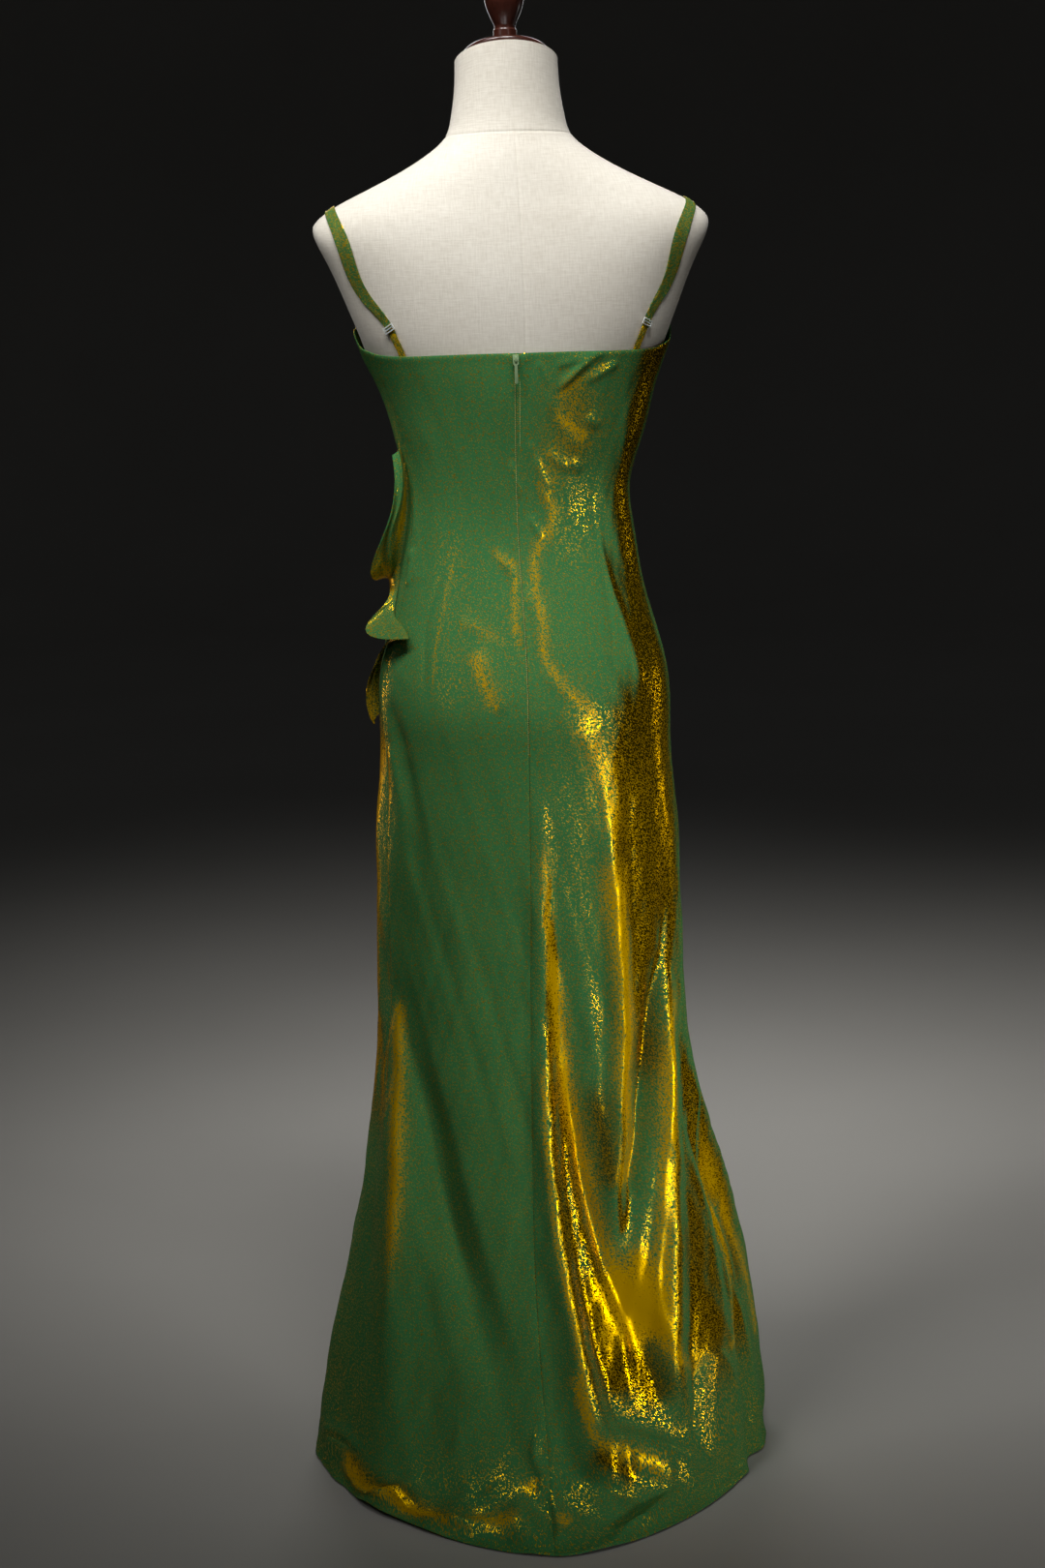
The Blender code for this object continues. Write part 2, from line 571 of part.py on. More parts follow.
def ring_mesh(name, rings):
    """Closed body through rings of equal count, with a flat or fanned cap at each end."""
    rings = np.asarray(rings)
    count = rings.shape[1]
    points = rings.reshape(-1, 3).tolist()
    faces = []
    for i in range(len(rings) - 1):
        for j in range(count):
            k = (j + 1) % count
            faces.append((i * count + j, i * count + k, (i + 1) * count + k, (i + 1) * count + j))
    for ring in (0, len(rings) - 1):
        middle = len(points)
        points.append(rings[ring].mean(axis=0).tolist())
        faces += [(ring * count + j, ring * count + (j + 1) % count, middle)
                  for j in range(count)]
    mesh = bpy.data.meshes.new(name)
    mesh.from_pydata(points, [], faces)
    work = bmesh.new()
    work.from_mesh(mesh)
    bmesh.ops.recalc_face_normals(work, faces=work.faces)
    work.to_mesh(mesh)
    work.free()
    fix_outward(mesh)
    return mesh


def turned_mesh(name, profile, segments):
    """Solid of revolution about Z from a profile of radius and height, bottom to top."""
    work = bmesh.new()
    closed = [point for point in profile]
    if closed[0][0] > 0.0:
        closed.insert(0, (0.0, closed[0][1]))
    if closed[-1][0] > 0.0:
        closed.append((0.0, closed[-1][1]))
    chain = [work.verts.new((radius, 0.0, height)) for radius, height in closed]
    edges = [work.edges.new(pair) for pair in zip(chain, chain[1:])]
    bmesh.ops.spin(work, geom=chain + edges, axis=(0, 0, 1), cent=(0, 0, 0),
                   steps=segments, angle=math.tau, use_duplicate=False)
    bmesh.ops.remove_doubles(work, verts=work.verts, dist=0.00001)
    bmesh.ops.recalc_face_normals(work, faces=work.faces)
    mesh = bpy.data.meshes.new(name)
    work.to_mesh(mesh)
    work.free()
    fix_outward(mesh)
    return mesh


# ---------------------------------------------------------------- gown

def make_panel(name, first, last, columns):
    """Panel of the gown between two seams, given as meridian angles level by level."""
    level = level_drops()[:, None]
    share = np.linspace(0.0, 1.0, columns + 1)[None, :]
    spread = first[:, None] + (last - first)[:, None] * share
    drop = drop_at(spread, level)
    radius = np.linalg.norm(gown_point(spread, drop)[..., :2], axis=-1)
    trim = np.degrees(0.5 * SEAM_GAP / radius)
    spread = spread + trim * (1.0 - 2.0 * share)
    outer = gown_point(spread, drop, CLOTH / 2)
    inner = gown_point(spread, drop, -CLOTH / 2)
    return add_object(name, wall_mesh(name, outer, inner), "shot_green", 60.0)


def make_gown():
    """Three panels that meet at the side seams and the centre back."""
    centre = CENTRE.read("angle", level_drops())
    left = np.full(len(centre), SIDE_LEFT)
    right = np.full(len(centre), SIDE_RIGHT)
    make_panel("back_left", centre, left, COLUMNS_LEFT)
    make_panel("back_right", right, centre, COLUMNS_RIGHT)
    make_panel("front", left, right + 360.0, COLUMNS_FRONT)


def make_flounce():
    """Wavy strip sewn down the wearer's left side, from the waist to the hip."""
    rows = np.array(FLOUNCE_ROWS)
    stations = np.arange(len(rows))
    fine = np.linspace(0, len(rows) - 1, (len(rows) - 1) * FLOUNCE_STEPS + 1)
    columns = {name: spline(stations, rows[:, i], fine) for i, name in enumerate(FLOUNCE_COLUMNS)}
    drop = DATUM - columns["root_height"]
    root = laid_point(columns["root_angle"], drop, CLOTH / 2 + FLOUNCE_LIFT + FLOUNCE_CLOTH / 2)
    edge = np.stack([columns["edge_x"], columns["edge_y"], columns["edge_z"]], axis=-1)
    share = np.linspace(0.0, 1.0, FLOUNCE_ACROSS + 1)[None, :, None]
    middle = root[:, None, :] * (1.0 - share) + edge[:, None, :] * share
    normal = grid_normal(middle)
    outer = middle + normal * FLOUNCE_CLOTH / 2
    inner = middle - normal * FLOUNCE_CLOTH / 2
    mesh = wall_mesh("flounce", outer, inner)
    return add_object("flounce", mesh, "shot_green", 60.0)


def grid_normal(points):
    """Unit normals of a grid of points by central differences."""
    down_way = np.gradient(points, axis=0)
    round_way = np.gradient(points, axis=1)
    normal = np.cross(round_way, down_way)
    return normal / np.linalg.norm(normal, axis=-1, keepdims=True)


# ---------------------------------------------------------------- straps

STRAP = Table(STRAP_COLUMNS, STRAP_ROWS)


def inside_form(x, y, height):
    """Below 1 inside the linen at that height, above 1 outside it."""
    half = FORM.read("half", height)
    deep = np.where(y > 0.0, FORM.read("back", height), FORM.read("front", height))
    power = FORM.read("power", height)
    return (np.abs(x) / half) ** power + (np.abs(y) / deep) ** power


def strap_point(turn, across):
    """Outermost point of the linen along a ray that turns about the strap's centre line."""
    cos_turn = math.cos(math.radians(turn))
    sin_turn = math.sin(math.radians(turn))
    reach = np.arange(0.0, STRAP_REACH, MM)
    inside = inside_form(across, reach * cos_turn, STRAP_CENTRE + reach * sin_turn) < 1.0
    low = float(reach[np.nonzero(inside)[0][-1]])
    high = low + MM
    for _ in range(20):
        middle = 0.5 * (low + high)
        if inside_form(across, middle * cos_turn, STRAP_CENTRE + middle * sin_turn) < 1.0:
            low = middle
        else:
            high = middle
    height = STRAP_CENTRE + low * sin_turn
    y = low * cos_turn - float(bust(np.array(across), np.array(height), -cos_turn))
    return np.array([across, y, height])


def unit(vector):
    """Vector of length 1."""
    return vector / np.linalg.norm(vector)


def strap_frame(side, turn):
    """Middle of the strap at a turn, with its along, across and outward directions."""
    name = "across_left" if side > 0 else "across_right"
    across = float(STRAP.read(name, turn))
    here = strap_point(turn, across)
    ahead = strap_point(turn + 1.5, float(STRAP.read(name, turn + 1.5)))
    behind = strap_point(turn - 1.5, float(STRAP.read(name, turn - 1.5)))
    along = unit(ahead - behind)
    reach = 0.003
    width_way = strap_point(turn, across + reach) - strap_point(turn, across - reach)
    width_way = unit(width_way - along * float(width_way @ along))
    up = np.cross(along, width_way)
    if up @ np.array([0.0, math.cos(math.radians(turn)), math.sin(math.radians(turn))]) < 0.0:
        up = -up
    here = here + up * float(STRAP.read("lift", turn))
    mirror = np.array([side, 1.0, 1.0])
    return here * mirror, along * mirror, width_way * mirror, up * mirror


def strap_grid(side, first, last):
    """Outer and inner grids of a strap stretch between two turns."""
    count = max(2, int(round((last - first) / STRAP_STEP)) + 1)
    outer = []
    inner = []
    for turn in np.linspace(first, last, count):
        here, _, width_way, up = strap_frame(side, turn)
        wide = float(STRAP.read("wide", turn))
        edges = [here + width_way * wide / 2 * k for k in (-1.0, 0.0, 1.0)]
        outer.append([edge + up * STRAP_CLOTH / 2 for edge in edges])
        inner.append([edge - up * STRAP_CLOTH / 2 for edge in edges])
    return np.array(outer), np.array(inner)


def make_straps():
    """Each side has a long strap, a short tab below it and the adjuster that joins them."""
    for side, word in ((1, "left"), (-1, "right")):
        outer, inner = strap_grid(side, STRAP_JOIN + STRAP_GAP, STRAP_ROWS[-1][0])
        name = "strap_" + word
        add_object(name, wall_mesh(name, outer, inner), "shot_green")
        outer, inner = strap_grid(side, STRAP_ROWS[0][0], STRAP_JOIN)
        name = "strap_tab_" + word
        add_object(name, wall_mesh(name, outer, inner), "shot_green")
        make_adjuster("adjuster_" + word, side)


def framed_plate(name, width, height, thick, windows):
    """Flat plate in X and Z, with rectangular windows, thick along Y."""
    work = bmesh.new()
    xs = sorted({-width / 2, width / 2} | {w[0] for w in windows} | {w[1] for w in windows})
    zs = sorted({0.0, height} | {w[2] for w in windows} | {w[3] for w in windows})

    def solid(i, j):
        if not (0 <= i < len(xs) - 1 and 0 <= j < len(zs) - 1):
            return False
        x = 0.5 * (xs[i] + xs[i + 1])
        z = 0.5 * (zs[j] + zs[j + 1])
        return not any(w[0] < x < w[1] and w[2] < z < w[3] for w in windows)

    grid = {}
    for side in (0, 1):
        for i, x in enumerate(xs):
            for j, z in enumerate(zs):
                grid[side, i, j] = work.verts.new((x, thick * (side - 0.5), z))
    for i in range(len(xs) - 1):
        for j in range(len(zs) - 1):
            if not solid(i, j):
                continue
            for side in (0, 1):
                work.faces.new([grid[side, i, j], grid[side, i + 1, j],
                                grid[side, i + 1, j + 1], grid[side, i, j + 1]])
            for (a, b), (di, dj) in ((((0, 0), (1, 0)), (0, -1)), (((0, 1), (1, 1)), (0, 1)),
                                     (((0, 0), (0, 1)), (-1, 0)), (((1, 0), (1, 1)), (1, 0))):
                if solid(i + di, j + dj):
                    continue
                work.faces.new([grid[0, i + a[0], j + a[1]], grid[0, i + b[0], j + b[1]],
                                grid[1, i + b[0], j + b[1]], grid[1, i + a[0], j + a[1]]])
    loose = [v for v in work.verts if not v.link_faces]
    bmesh.ops.delete(work, geom=loose, context="VERTS")
    bmesh.ops.recalc_face_normals(work, faces=work.faces)
    mesh = bpy.data.meshes.new(name)
    work.to_mesh(mesh)
    work.free()
    fix_outward(mesh)
    return mesh


def make_adjuster(name, side):
    """Small clear slide with two windows, lying on the strap where its two ends meet."""
    width, height, thick, bar = ADJUSTER
    window = (height - 3 * bar) / 2
    windows = [(-width / 2 + bar, width / 2 - bar, bar, bar + window),
               (-width / 2 + bar, width / 2 - bar, 2 * bar + window, height - bar)]
    mesh = framed_plate(name, width, height, thick, windows)
    mesh.transform(Matrix.Translation((0, 0, -height / 2)))
    here, along, _, up = (Vector(item) for item in strap_frame(side, STRAP_JOIN))
    across = up.cross(along)
    raised = here + up * (STRAP_CLOTH / 2 + SEAM_GAP + thick / 2 + ADJUSTER_LIFT)
    place = Matrix((across, up, along)).transposed().to_4x4()
    made = add_object(name, mesh, "clear_plastic", 30.0)
    made.matrix_world = Matrix.Translation(raised) @ place
    return made


# ---------------------------------------------------------------- zip

def make_zip():
    """Tape behind the centre back seam, slider outside it and the pull on the slider."""
    levels = level_drops()
    end = DATUM - ZIP_END
    inner_drops = [drop for drop in levels[1:] if drop < end - TAPE_STEP]
    drops = np.array([levels[0] + TAPE_TOP] + inner_drops + [end])
    drops = drops[:, None]
    half_angle = np.degrees(TAPE_HALF / GOWN.read("back", drops))
    angle = CENTRE.read("angle", drops) + half_angle * np.linspace(-1.0, 1.0, 5)[None, :]
    near = -(CLOTH / 2 + SEAM_GAP + TAPE_SPARE)
    outer = laid_point(angle, drops, near)
    inner = laid_point(angle, drops, near - TAPE_CLOTH)
    add_object("zip_tape", wall_mesh("zip_tape", outer, inner), "shot_green", 60.0)
    heights = np.linspace(SLIDER_TOP - SLIDER.height, SLIDER_TOP, 5)
    centre = float(CENTRE.read("angle", DATUM - SLIDER_TOP))
    around = centre + SLIDER_SPREAD * np.array([-1.0, 0.0, 1.0])
    on_cloth = laid_point(around[:, None], DATUM - heights[None, :], CLOTH / 2)
    place = Vector((float(on_cloth[1, -1, 0]), float(on_cloth[..., 1].max()) + SEAM_GAP,
                    SLIDER_TOP - SLIDER.height))
    make_slider(place)
    make_pull(place)


def box_mesh(name, low, high):
    """Mesh of one box between two corners."""
    work = bmesh.new()
    size = Vector(high) - Vector(low)
    middle = (Vector(high) + Vector(low)) / 2
    place = Matrix.Translation(middle) @ Matrix.Diagonal((*size, 1.0))
    bmesh.ops.create_cube(work, size=1.0, matrix=place)
    mesh = bpy.data.meshes.new(name)
    work.to_mesh(mesh)
    work.free()
    return mesh


def add_guide(made, mesh, operation):
    """Adds a boolean to a body, with a hidden guide object in the same place."""
    guide = bpy.data.objects.new(mesh.name + "_guide", mesh)
    bpy.context.scene.collection.objects.link(guide)
    guide.parent = made.parent
    guide.location = made.location
    guide.hide_render = True
    guide.display_type = "WIRE"
    change = made.modifiers.new(mesh.name, "BOOLEAN")
    change.operation = operation
    change.solver = "EXACT"
    change.object = guide


def make_slider(place):
    """Slider body with a bridge: an arch that stands out and runs up and down."""
    low = (SLIDER.height - BRIDGE.length) / 2
    high = low + BRIDGE.length
    reach = SLIDER.depth + BRIDGE.clear
    half = BRIDGE.width / 2
    body = box_mesh("zip_slider", (-SLIDER.width / 2, 0, 0),
                    (SLIDER.width / 2, SLIDER.depth, SLIDER.height))
    arch = box_mesh("slider_arch", (-half, SLIDER.depth / 2, low), (half, reach + BRIDGE.bar, high))
    hole = box_mesh("slider_hole", (-BRIDGE.width, SLIDER.depth, low + BRIDGE.bar),
                    (BRIDGE.width, reach, high - BRIDGE.bar))
    made = add_object("zip_slider", body, "zip_metal", 30.0)
    made.location = place
    add_guide(made, arch, "UNION")
    add_guide(made, hole, "DIFFERENCE")
    return made


def make_pull(place):
    """Flat pull tab with a window that the slider's bridge passes through."""
    head = PULL.head / 2
    tip = PULL.tip / 2
    thick = PULL.thick
    foot = -PULL.hole_height - thick
    half = ((head, thick / 2), (head, foot), (tip, foot - PULL_SHOULDER + thick),
            (tip, -PULL.length + PULL_BEVEL), (tip / 2, -PULL.length))
    outline = half + tuple((-x, z) for x, z in reversed(half))
    work = bmesh.new()
    ring = [work.verts.new((x, -thick / 2, z)) for x, z in outline]
    face = work.faces.new(ring)
    grown = bmesh.ops.extrude_face_region(work, geom=[face])
    moved = [item for item in grown["geom"] if isinstance(item, bmesh.types.BMVert)]
    bmesh.ops.translate(work, verts=moved, vec=(0.0, thick, 0.0))
    bmesh.ops.recalc_face_normals(work, faces=work.faces)
    mesh = bpy.data.meshes.new("zip_pull")
    work.to_mesh(mesh)
    work.free()
    window = box_mesh("pull_window", (-PULL.hole_width / 2, -thick, -thick / 2 - PULL.hole_height),
                      (PULL.hole_width / 2, thick, -thick / 2))
    axis = bpy.data.objects.new("zip_pull_axis", None)
    bpy.context.scene.collection.objects.link(axis)
    axis.location = place + Vector((0.0, SLIDER.depth + BRIDGE.clear / 2, SLIDER.height / 2))
    made = add_object("zip_pull", mesh, "zip_metal", 30.0)
    made.parent = axis
    add_guide(made, window, "DIFFERENCE")
    return made


# ---------------------------------------------------------------- dress form

def make_form():
    """Linen torso, its wooden neck cap and finial, the pole and the base plate."""
    heights = [row[0] for row in FORM_ROWS]
    between = [0.5 * (a + b) for a, b in zip(heights, heights[1:]) if a - b > RING_STEP]
    fine = sorted(heights + between, reverse=True)
    angles = np.arange(FORM_SIDES) * 360.0 / FORM_SIDES
    rings = [form_point(angles, height) for height in fine]
    add_object("form_torso", ring_mesh("form_torso", rings), "linen", 50.0)
    _, _, back, front, _, _, slope = FORM_ROWS[0]
    middle = (back - front) / 2
    top = FORM_ROWS[0][0] + slope * middle
    rings = []
    for radius, height, slope in CAP_ROWS:
        x = radius * np.sin(np.radians(angles))
        y = radius * np.cos(np.radians(angles))
        rings.append(np.stack([x, y, height + slope * y], axis=-1))
    cap = add_object("neck_cap", ring_mesh("neck_cap", rings), "dark_wood")
    cap.location = (0.0, middle, top)
    finial = add_object("finial", turned_mesh("finial", FINIAL_PROFILE, FINIAL_SIDES), "dark_wood")
    finial.location = (0.0, middle, top + CAP_ROWS[-1][1] + SEAM_GAP)


def make_stand():
    """Turned base plate with its collar, and the pole that carries the torso."""
    edge = STAND_EDGE
    base = ((BASE_RADIUS - edge, 0.0), (BASE_RADIUS, edge), (BASE_RADIUS, BASE_THICK - edge),
            (BASE_RADIUS - edge, BASE_THICK), (COLLAR_RADIUS + COLLAR_FOOT, BASE_THICK),
            (COLLAR_RADIUS, BASE_THICK + COLLAR_FOOT), (COLLAR_RADIUS, COLLAR_HEIGHT - edge),
            (COLLAR_RADIUS - edge, COLLAR_HEIGHT))
    plate = turned_mesh("base_plate", base, BASE_SIDES)
    add_object("base_plate", plate, "stand_metal", 30.0)
    low = COLLAR_HEIGHT + SEAM_GAP
    high = FORM_ROWS[-1][0] - SEAM_GAP
    pole = ((POLE_RADIUS, low), (POLE_RADIUS, high))
    add_object("pole", turned_mesh("pole", pole, POLE_SIDES), "stand_metal", 30.0)


def clear_scene():
    """Removes what the scene holds before the model is made."""
    for item in list(bpy.data.objects):
        bpy.data.objects.remove(item, do_unlink=True)


def main():
    """Builds every piece."""
    clear_scene()
    make_form()
    make_stand()
    make_gown()
    make_flounce()
    make_straps()
    make_zip()


main()
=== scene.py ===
"""Evening gown with a short train on a limbless dress form, dressed for the render.

The gown's wall is one shape function: a meridian angle goes round the body (0 at the centre
back, + towards the wearer's left) and a drop goes down it. Large folds and finer creases move
the wall out or in along its own normal. Metres, +Z up, the wearer faces -Y.
"""

import logging
import math
from contextlib import contextmanager
from dataclasses import dataclass, field
from enum import Enum
from typing import Any, Callable, Iterable, Iterator, Sequence

import bmesh
import bpy
import numpy as np
from mathutils import Matrix, Vector


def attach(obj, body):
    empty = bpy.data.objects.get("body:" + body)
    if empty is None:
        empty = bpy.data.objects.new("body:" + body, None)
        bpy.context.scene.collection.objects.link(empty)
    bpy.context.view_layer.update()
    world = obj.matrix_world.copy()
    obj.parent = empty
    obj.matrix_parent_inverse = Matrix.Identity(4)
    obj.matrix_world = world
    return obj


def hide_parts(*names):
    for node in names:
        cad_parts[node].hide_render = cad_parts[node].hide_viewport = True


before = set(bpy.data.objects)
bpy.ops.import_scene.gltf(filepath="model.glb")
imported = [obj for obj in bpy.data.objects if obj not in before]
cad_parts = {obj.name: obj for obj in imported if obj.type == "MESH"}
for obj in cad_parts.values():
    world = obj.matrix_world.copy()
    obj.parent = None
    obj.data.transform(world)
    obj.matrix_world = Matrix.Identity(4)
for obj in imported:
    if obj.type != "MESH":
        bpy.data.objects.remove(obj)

LOG = logging.getLogger("gown")
MM = 0.001
DATUM = 1.27              # height that the gown's drop is counted from
HIP_DROP = 0.47           # above this drop the gown follows the form
HEM_DROP = 1.335
TORSO_FOOT = 0.80         # height that the form's own sections are used down to
PLATE_BLEND = 0.004       # softness of the corner where a ring meets an arm plate
FOLD_FADE = 0.10          # drop over which a fold that ends above the hem dies out
TRAIN_REACH = 0.25        # distance round the train for one radian of turn
CLOTH = 1.5 * MM          # wall of the solid model, whose outer face the visible cloth keeps
THIN = 0.8 * MM           # thickness of the visible cloth
GOWN_BODY = "gown_and_form"
PULL_BODY = "pull"
Array = np.ndarray


# ---------------------------------------------------------------- smooth tables

class Curve:
    """Natural cubic through knots, solved once and read at any points inside them."""

    def __init__(self, knots: Sequence[float], values: Sequence[float]) -> None:
        """Solves the bends at the knots.

        Args:
            knots: Rising positions.
            values: One value for each knot.
        """
        self.knots = np.asarray(knots, float)
        self.values = np.asarray(values, float)
        self.step = np.diff(self.knots)
        slope = np.diff(self.values) / self.step
        count = len(self.knots)
        system = np.zeros((count, count))
        right = np.zeros(count)
        system[0, 0] = system[-1, -1] = 1.0
        for i in range(1, count - 1):
            system[i, i - 1:i + 2] = (self.step[i - 1], 2.0 * (self.step[i - 1] + self.step[i]),
                                      self.step[i])
            right[i] = 6.0 * (slope[i] - slope[i - 1])
        self.bend = np.linalg.solve(system, right)

    def read(self, at: Any) -> Array:
        """Reads the curve.

        Args:
            at: Positions, held inside the knots.

        Returns:
            The values there.
        """
        at = np.clip(np.asarray(at, float), self.knots[0], self.knots[-1])
        k = np.clip(np.searchsorted(self.knots, at) - 1, 0, len(self.knots) - 2)
        a = (self.knots[k + 1] - at) / self.step[k]
        b = 1.0 - a
        curve = (a ** 3 - a) * self.bend[k] + (b ** 3 - b) * self.bend[k + 1]
        return a * self.values[k] + b * self.values[k + 1] + curve * self.step[k] ** 2 / 6.0


class Table:
    """Rows of named columns, read smoothly along the first column."""

    def __init__(self, columns: Sequence[str], rows: Iterable[Sequence[float]]) -> None:
        """Makes one curve for each column.

        Args:
            columns: Names, the first of which is the position's.
            rows: Rows of numbers in any order.
        """
        data = np.array(sorted(rows), float)
        self.curves = {name: Curve(data[:, 0], data[:, i]) for i, name in enumerate(columns)}

    def read(self, name: str, at: Any) -> Array:
        """Values of one column at positions along the first."""
        return self.curves[name].read(at)


def smooth_step(edge0: float, edge1: float, x: Any) -> Array:
    """Soft ramp from 0 at edge0 to 1 at edge1."""
    u = np.clip((np.asarray(x, float) - edge0) / (edge1 - edge0), 0.0, 1.0)
    return u * u * u * (u * (6.0 * u - 15.0) + 10.0)


def turn_between(angle: Any, centre: Any) -> Array:
    """Signed angle from a centre, the short way round, in degrees."""
    return (angle - centre + 180.0) % 360.0 - 180.0


def unit(vector: Array) -> Array:
    """Vectors of length 1."""
    return vector / np.linalg.norm(vector, axis=-1, keepdims=True)


def soft_floor(height: Array, low: Array, soft: float) -> Array:
    """Heights kept above a low limit, with a soft turn where they meet it."""
    return low + 0.5 * (height - low + np.sqrt((height - low) ** 2 + soft ** 2))


# ---------------------------------------------------------------- shape of the dress form

FORM = Table(("height", "half", "back", "front", "power", "cut", "slope"), (
    (1.490, 0.0525, 0.0470, 0.0560, 2.0, 0.21, 0.350),
    (1.462, 0.0540, 0.0475, 0.0575, 2.0, 0.21, 0.190),
    (1.434, 0.0585, 0.0500, 0.0600, 2.0, 0.21, 0.060),
    (1.414, 0.0665, 0.0550, 0.0630, 2.0, 0.21, 0.000),
    (1.398, 0.0860, 0.0610, 0.0650, 2.0, 0.21, 0.000),
    (1.381, 0.1150, 0.0665, 0.0660, 2.0, 0.21, 0.000),
    (1.365, 0.1480, 0.0710, 0.0665, 2.0, 0.21, 0.000),
    (1.350, 0.1790, 0.0750, 0.0670, 2.0, 0.21, 0.000),
    (1.336, 0.1990, 0.0790, 0.0690, 2.1, 0.2065, 0.000),
    (1.320, 0.2065, 0.0830, 0.0730, 2.2, 0.2025, 0.000),
    (1.296, 0.1970, 0.0880, 0.0810, 2.3, 0.1915, 0.000),
    (1.268, 0.1835, 0.0920, 0.0910, 2.3, 0.1790, 0.000),
    (1.240, 0.1720, 0.0935, 0.1010, 2.3, 0.1680, 0.000),
    (1.212, 0.1600, 0.0930, 0.1100, 2.3, 0.1575, 0.000),
    (1.166, 0.1370, 0.0885, 0.1150, 2.2, 0.1480, 0.000),
    (1.116, 0.1220, 0.0795, 0.1060, 2.1, 0.1400, 0.000),
    (1.060, 0.1080, 0.0690, 0.0930, 2.1, 0.1300, 0.000),
    (1.020, 0.1110, 0.0675, 0.0910, 2.1, 0.1300, 0.000),
    (0.957, 0.1210, 0.0820, 0.0925, 2.1, 0.1400, 0.000),
    (0.905, 0.1360, 0.1010, 0.0930, 2.1, 0.1600, 0.000),
    (0.863, 0.1460, 0.1150, 0.0920, 2.1, 0.1700, 0.000),
    (0.825, 0.1480, 0.1215, 0.0915, 2.1, 0.1700, 0.000),
    (0.785, 0.1460, 0.1180, 0.0900, 2.1, 0.1700, 0.000),
    (0.745, 0.1420, 0.1110, 0.0880, 2.1, 0.1700, 0.000),
    (0.715, 0.1380, 0.1050, 0.0850, 2.1, 0.1700, 0.000),
))
FORM_HEIGHTS = tuple(float(knot) for knot in FORM.curves["half"].knots)
FORM_TOP = FORM_HEIGHTS[-1]
BUST_ACROSS = 0.072
BUST_HEIGHT = 1.172
BUST_SPREAD = (0.052, 0.060)
BUST_DEPTH = 0.020

EASE = Table(("height", "left", "right", "back", "front"), (
    (1.270, 0.0045, 0.0045, 0.0045, 0.0060),
    (1.212, 0.0045, 0.0045, 0.0045, 0.0062),
    (1.166, 0.0050, 0.0090, 0.0045, 0.0062),
    (1.116, 0.0055, 0.0110, 0.0050, 0.0068),
    (1.060, 0.0100, 0.0080, 0.0075, 0.0070),
    (1.020, 0.0100, 0.0080, 0.0075, 0.0065),
    (0.957, 0.0090, 0.0070, 0.0055, 0.0055),
    (0.863, 0.0060, 0.0055, 0.0050, 0.0055),
    (0.800, 0.0055, 0.0060, 0.0055, 0.0060),
))

SKIRT_COLUMNS = ("drop", "high_back", "high_side", "high_front",
                 "left", "right", "back", "front", "power")
SKIRT_ROWS = (
    (0.560, 0.710, 0.710, 0.710, 0.1560, 0.1585, 0.1220, 0.1000, 2.1),
    (0.670, 0.600, 0.600, 0.600, 0.1590, 0.1610, 0.1180, 0.1060, 2.1),
    (0.780, 0.490, 0.490, 0.490, 0.1630, 0.1635, 0.1180, 0.1160, 2.1),
    (0.870, 0.400, 0.400, 0.400, 0.1720, 0.1690, 0.1250, 0.1300, 2.1),
    (0.970, 0.302, 0.302, 0.305, 0.1880, 0.1850, 0.1370, 0.1500, 2.1),
    (1.055, 0.218, 0.220, 0.228, 0.2060, 0.2080, 0.1500, 0.1690, 2.05),
    (1.135, 0.140, 0.145, 0.158, 0.2255, 0.2240, 0.1680, 0.1850, 2.0),
    (1.200, 0.079, 0.085, 0.105, 0.2385, 0.2350, 0.1890, 0.1960, 1.92),
    (1.250, 0.036, 0.044, 0.073, 0.2465, 0.2400, 0.2160, 0.2040, 1.83),
    (1.290, 0.012, 0.018, 0.053, 0.2500, 0.2420, 0.2460, 0.2090, 1.72),
    (1.335, 0.001, 0.001, 0.038, 0.2520, 0.2440, 0.2840, 0.2140, 1.62),
)
NECK = Table(("angle", "height"), (
    (0.0, 1.197), (40.0, 1.197), (60.0, 1.197), (72.0, 1.200), (82.0, 1.208), (92.0, 1.218),
    (108.0, 1.232), (124.0, 1.249), (148.0, 1.241), (180.0, 1.233),
))
CENTRE = Table(("drop", "angle"), (
    (0.070, 2.5), (0.160, 3.8), (0.245, 4.2), (0.340, 1.8), (0.470, 1.6), (0.600, 2.6),
    (0.750, 4.6), (0.900, 5.6), (1.010, 5.6), (1.120, 4.2), (1.200, 2.8), (1.335, 2.0),
))
NECK_FADE = 0.22
NECK_START = DATUM - 1.197
ARM_ROOM = 4.5 * MM
ARM_END = (0.08, 0.20)


def torso_rows() -> list[tuple[float, ...]]:
    """Rows of the gown from the bust to the hip.

    Returns:
        The form's own sections with the cloth's ease, in the skirt's columns.
    """
    ease_heights = {float(knot) for knot in EASE.curves["back"].knots}
    heights = {round(height, 4) for height in FORM_HEIGHTS if TORSO_FOOT < height < DATUM}
    rows = []
    for height in sorted(heights | ease_heights, reverse=True):
        ease = {name: float(EASE.read(name, height)) for name in ("left", "right", "back", "front")}
        half = float(FORM.read("half", height))
        rows.append((DATUM - height, height, height, height,
                     half + ease["left"], half + ease["right"],
                     float(FORM.read("back", height)) + ease["back"],
                     float(FORM.read("front", height)) + ease["front"],
                     float(FORM.read("power", height))))
    return rows


GOWN = Table(SKIRT_COLUMNS, torso_rows() + list(SKIRT_ROWS))


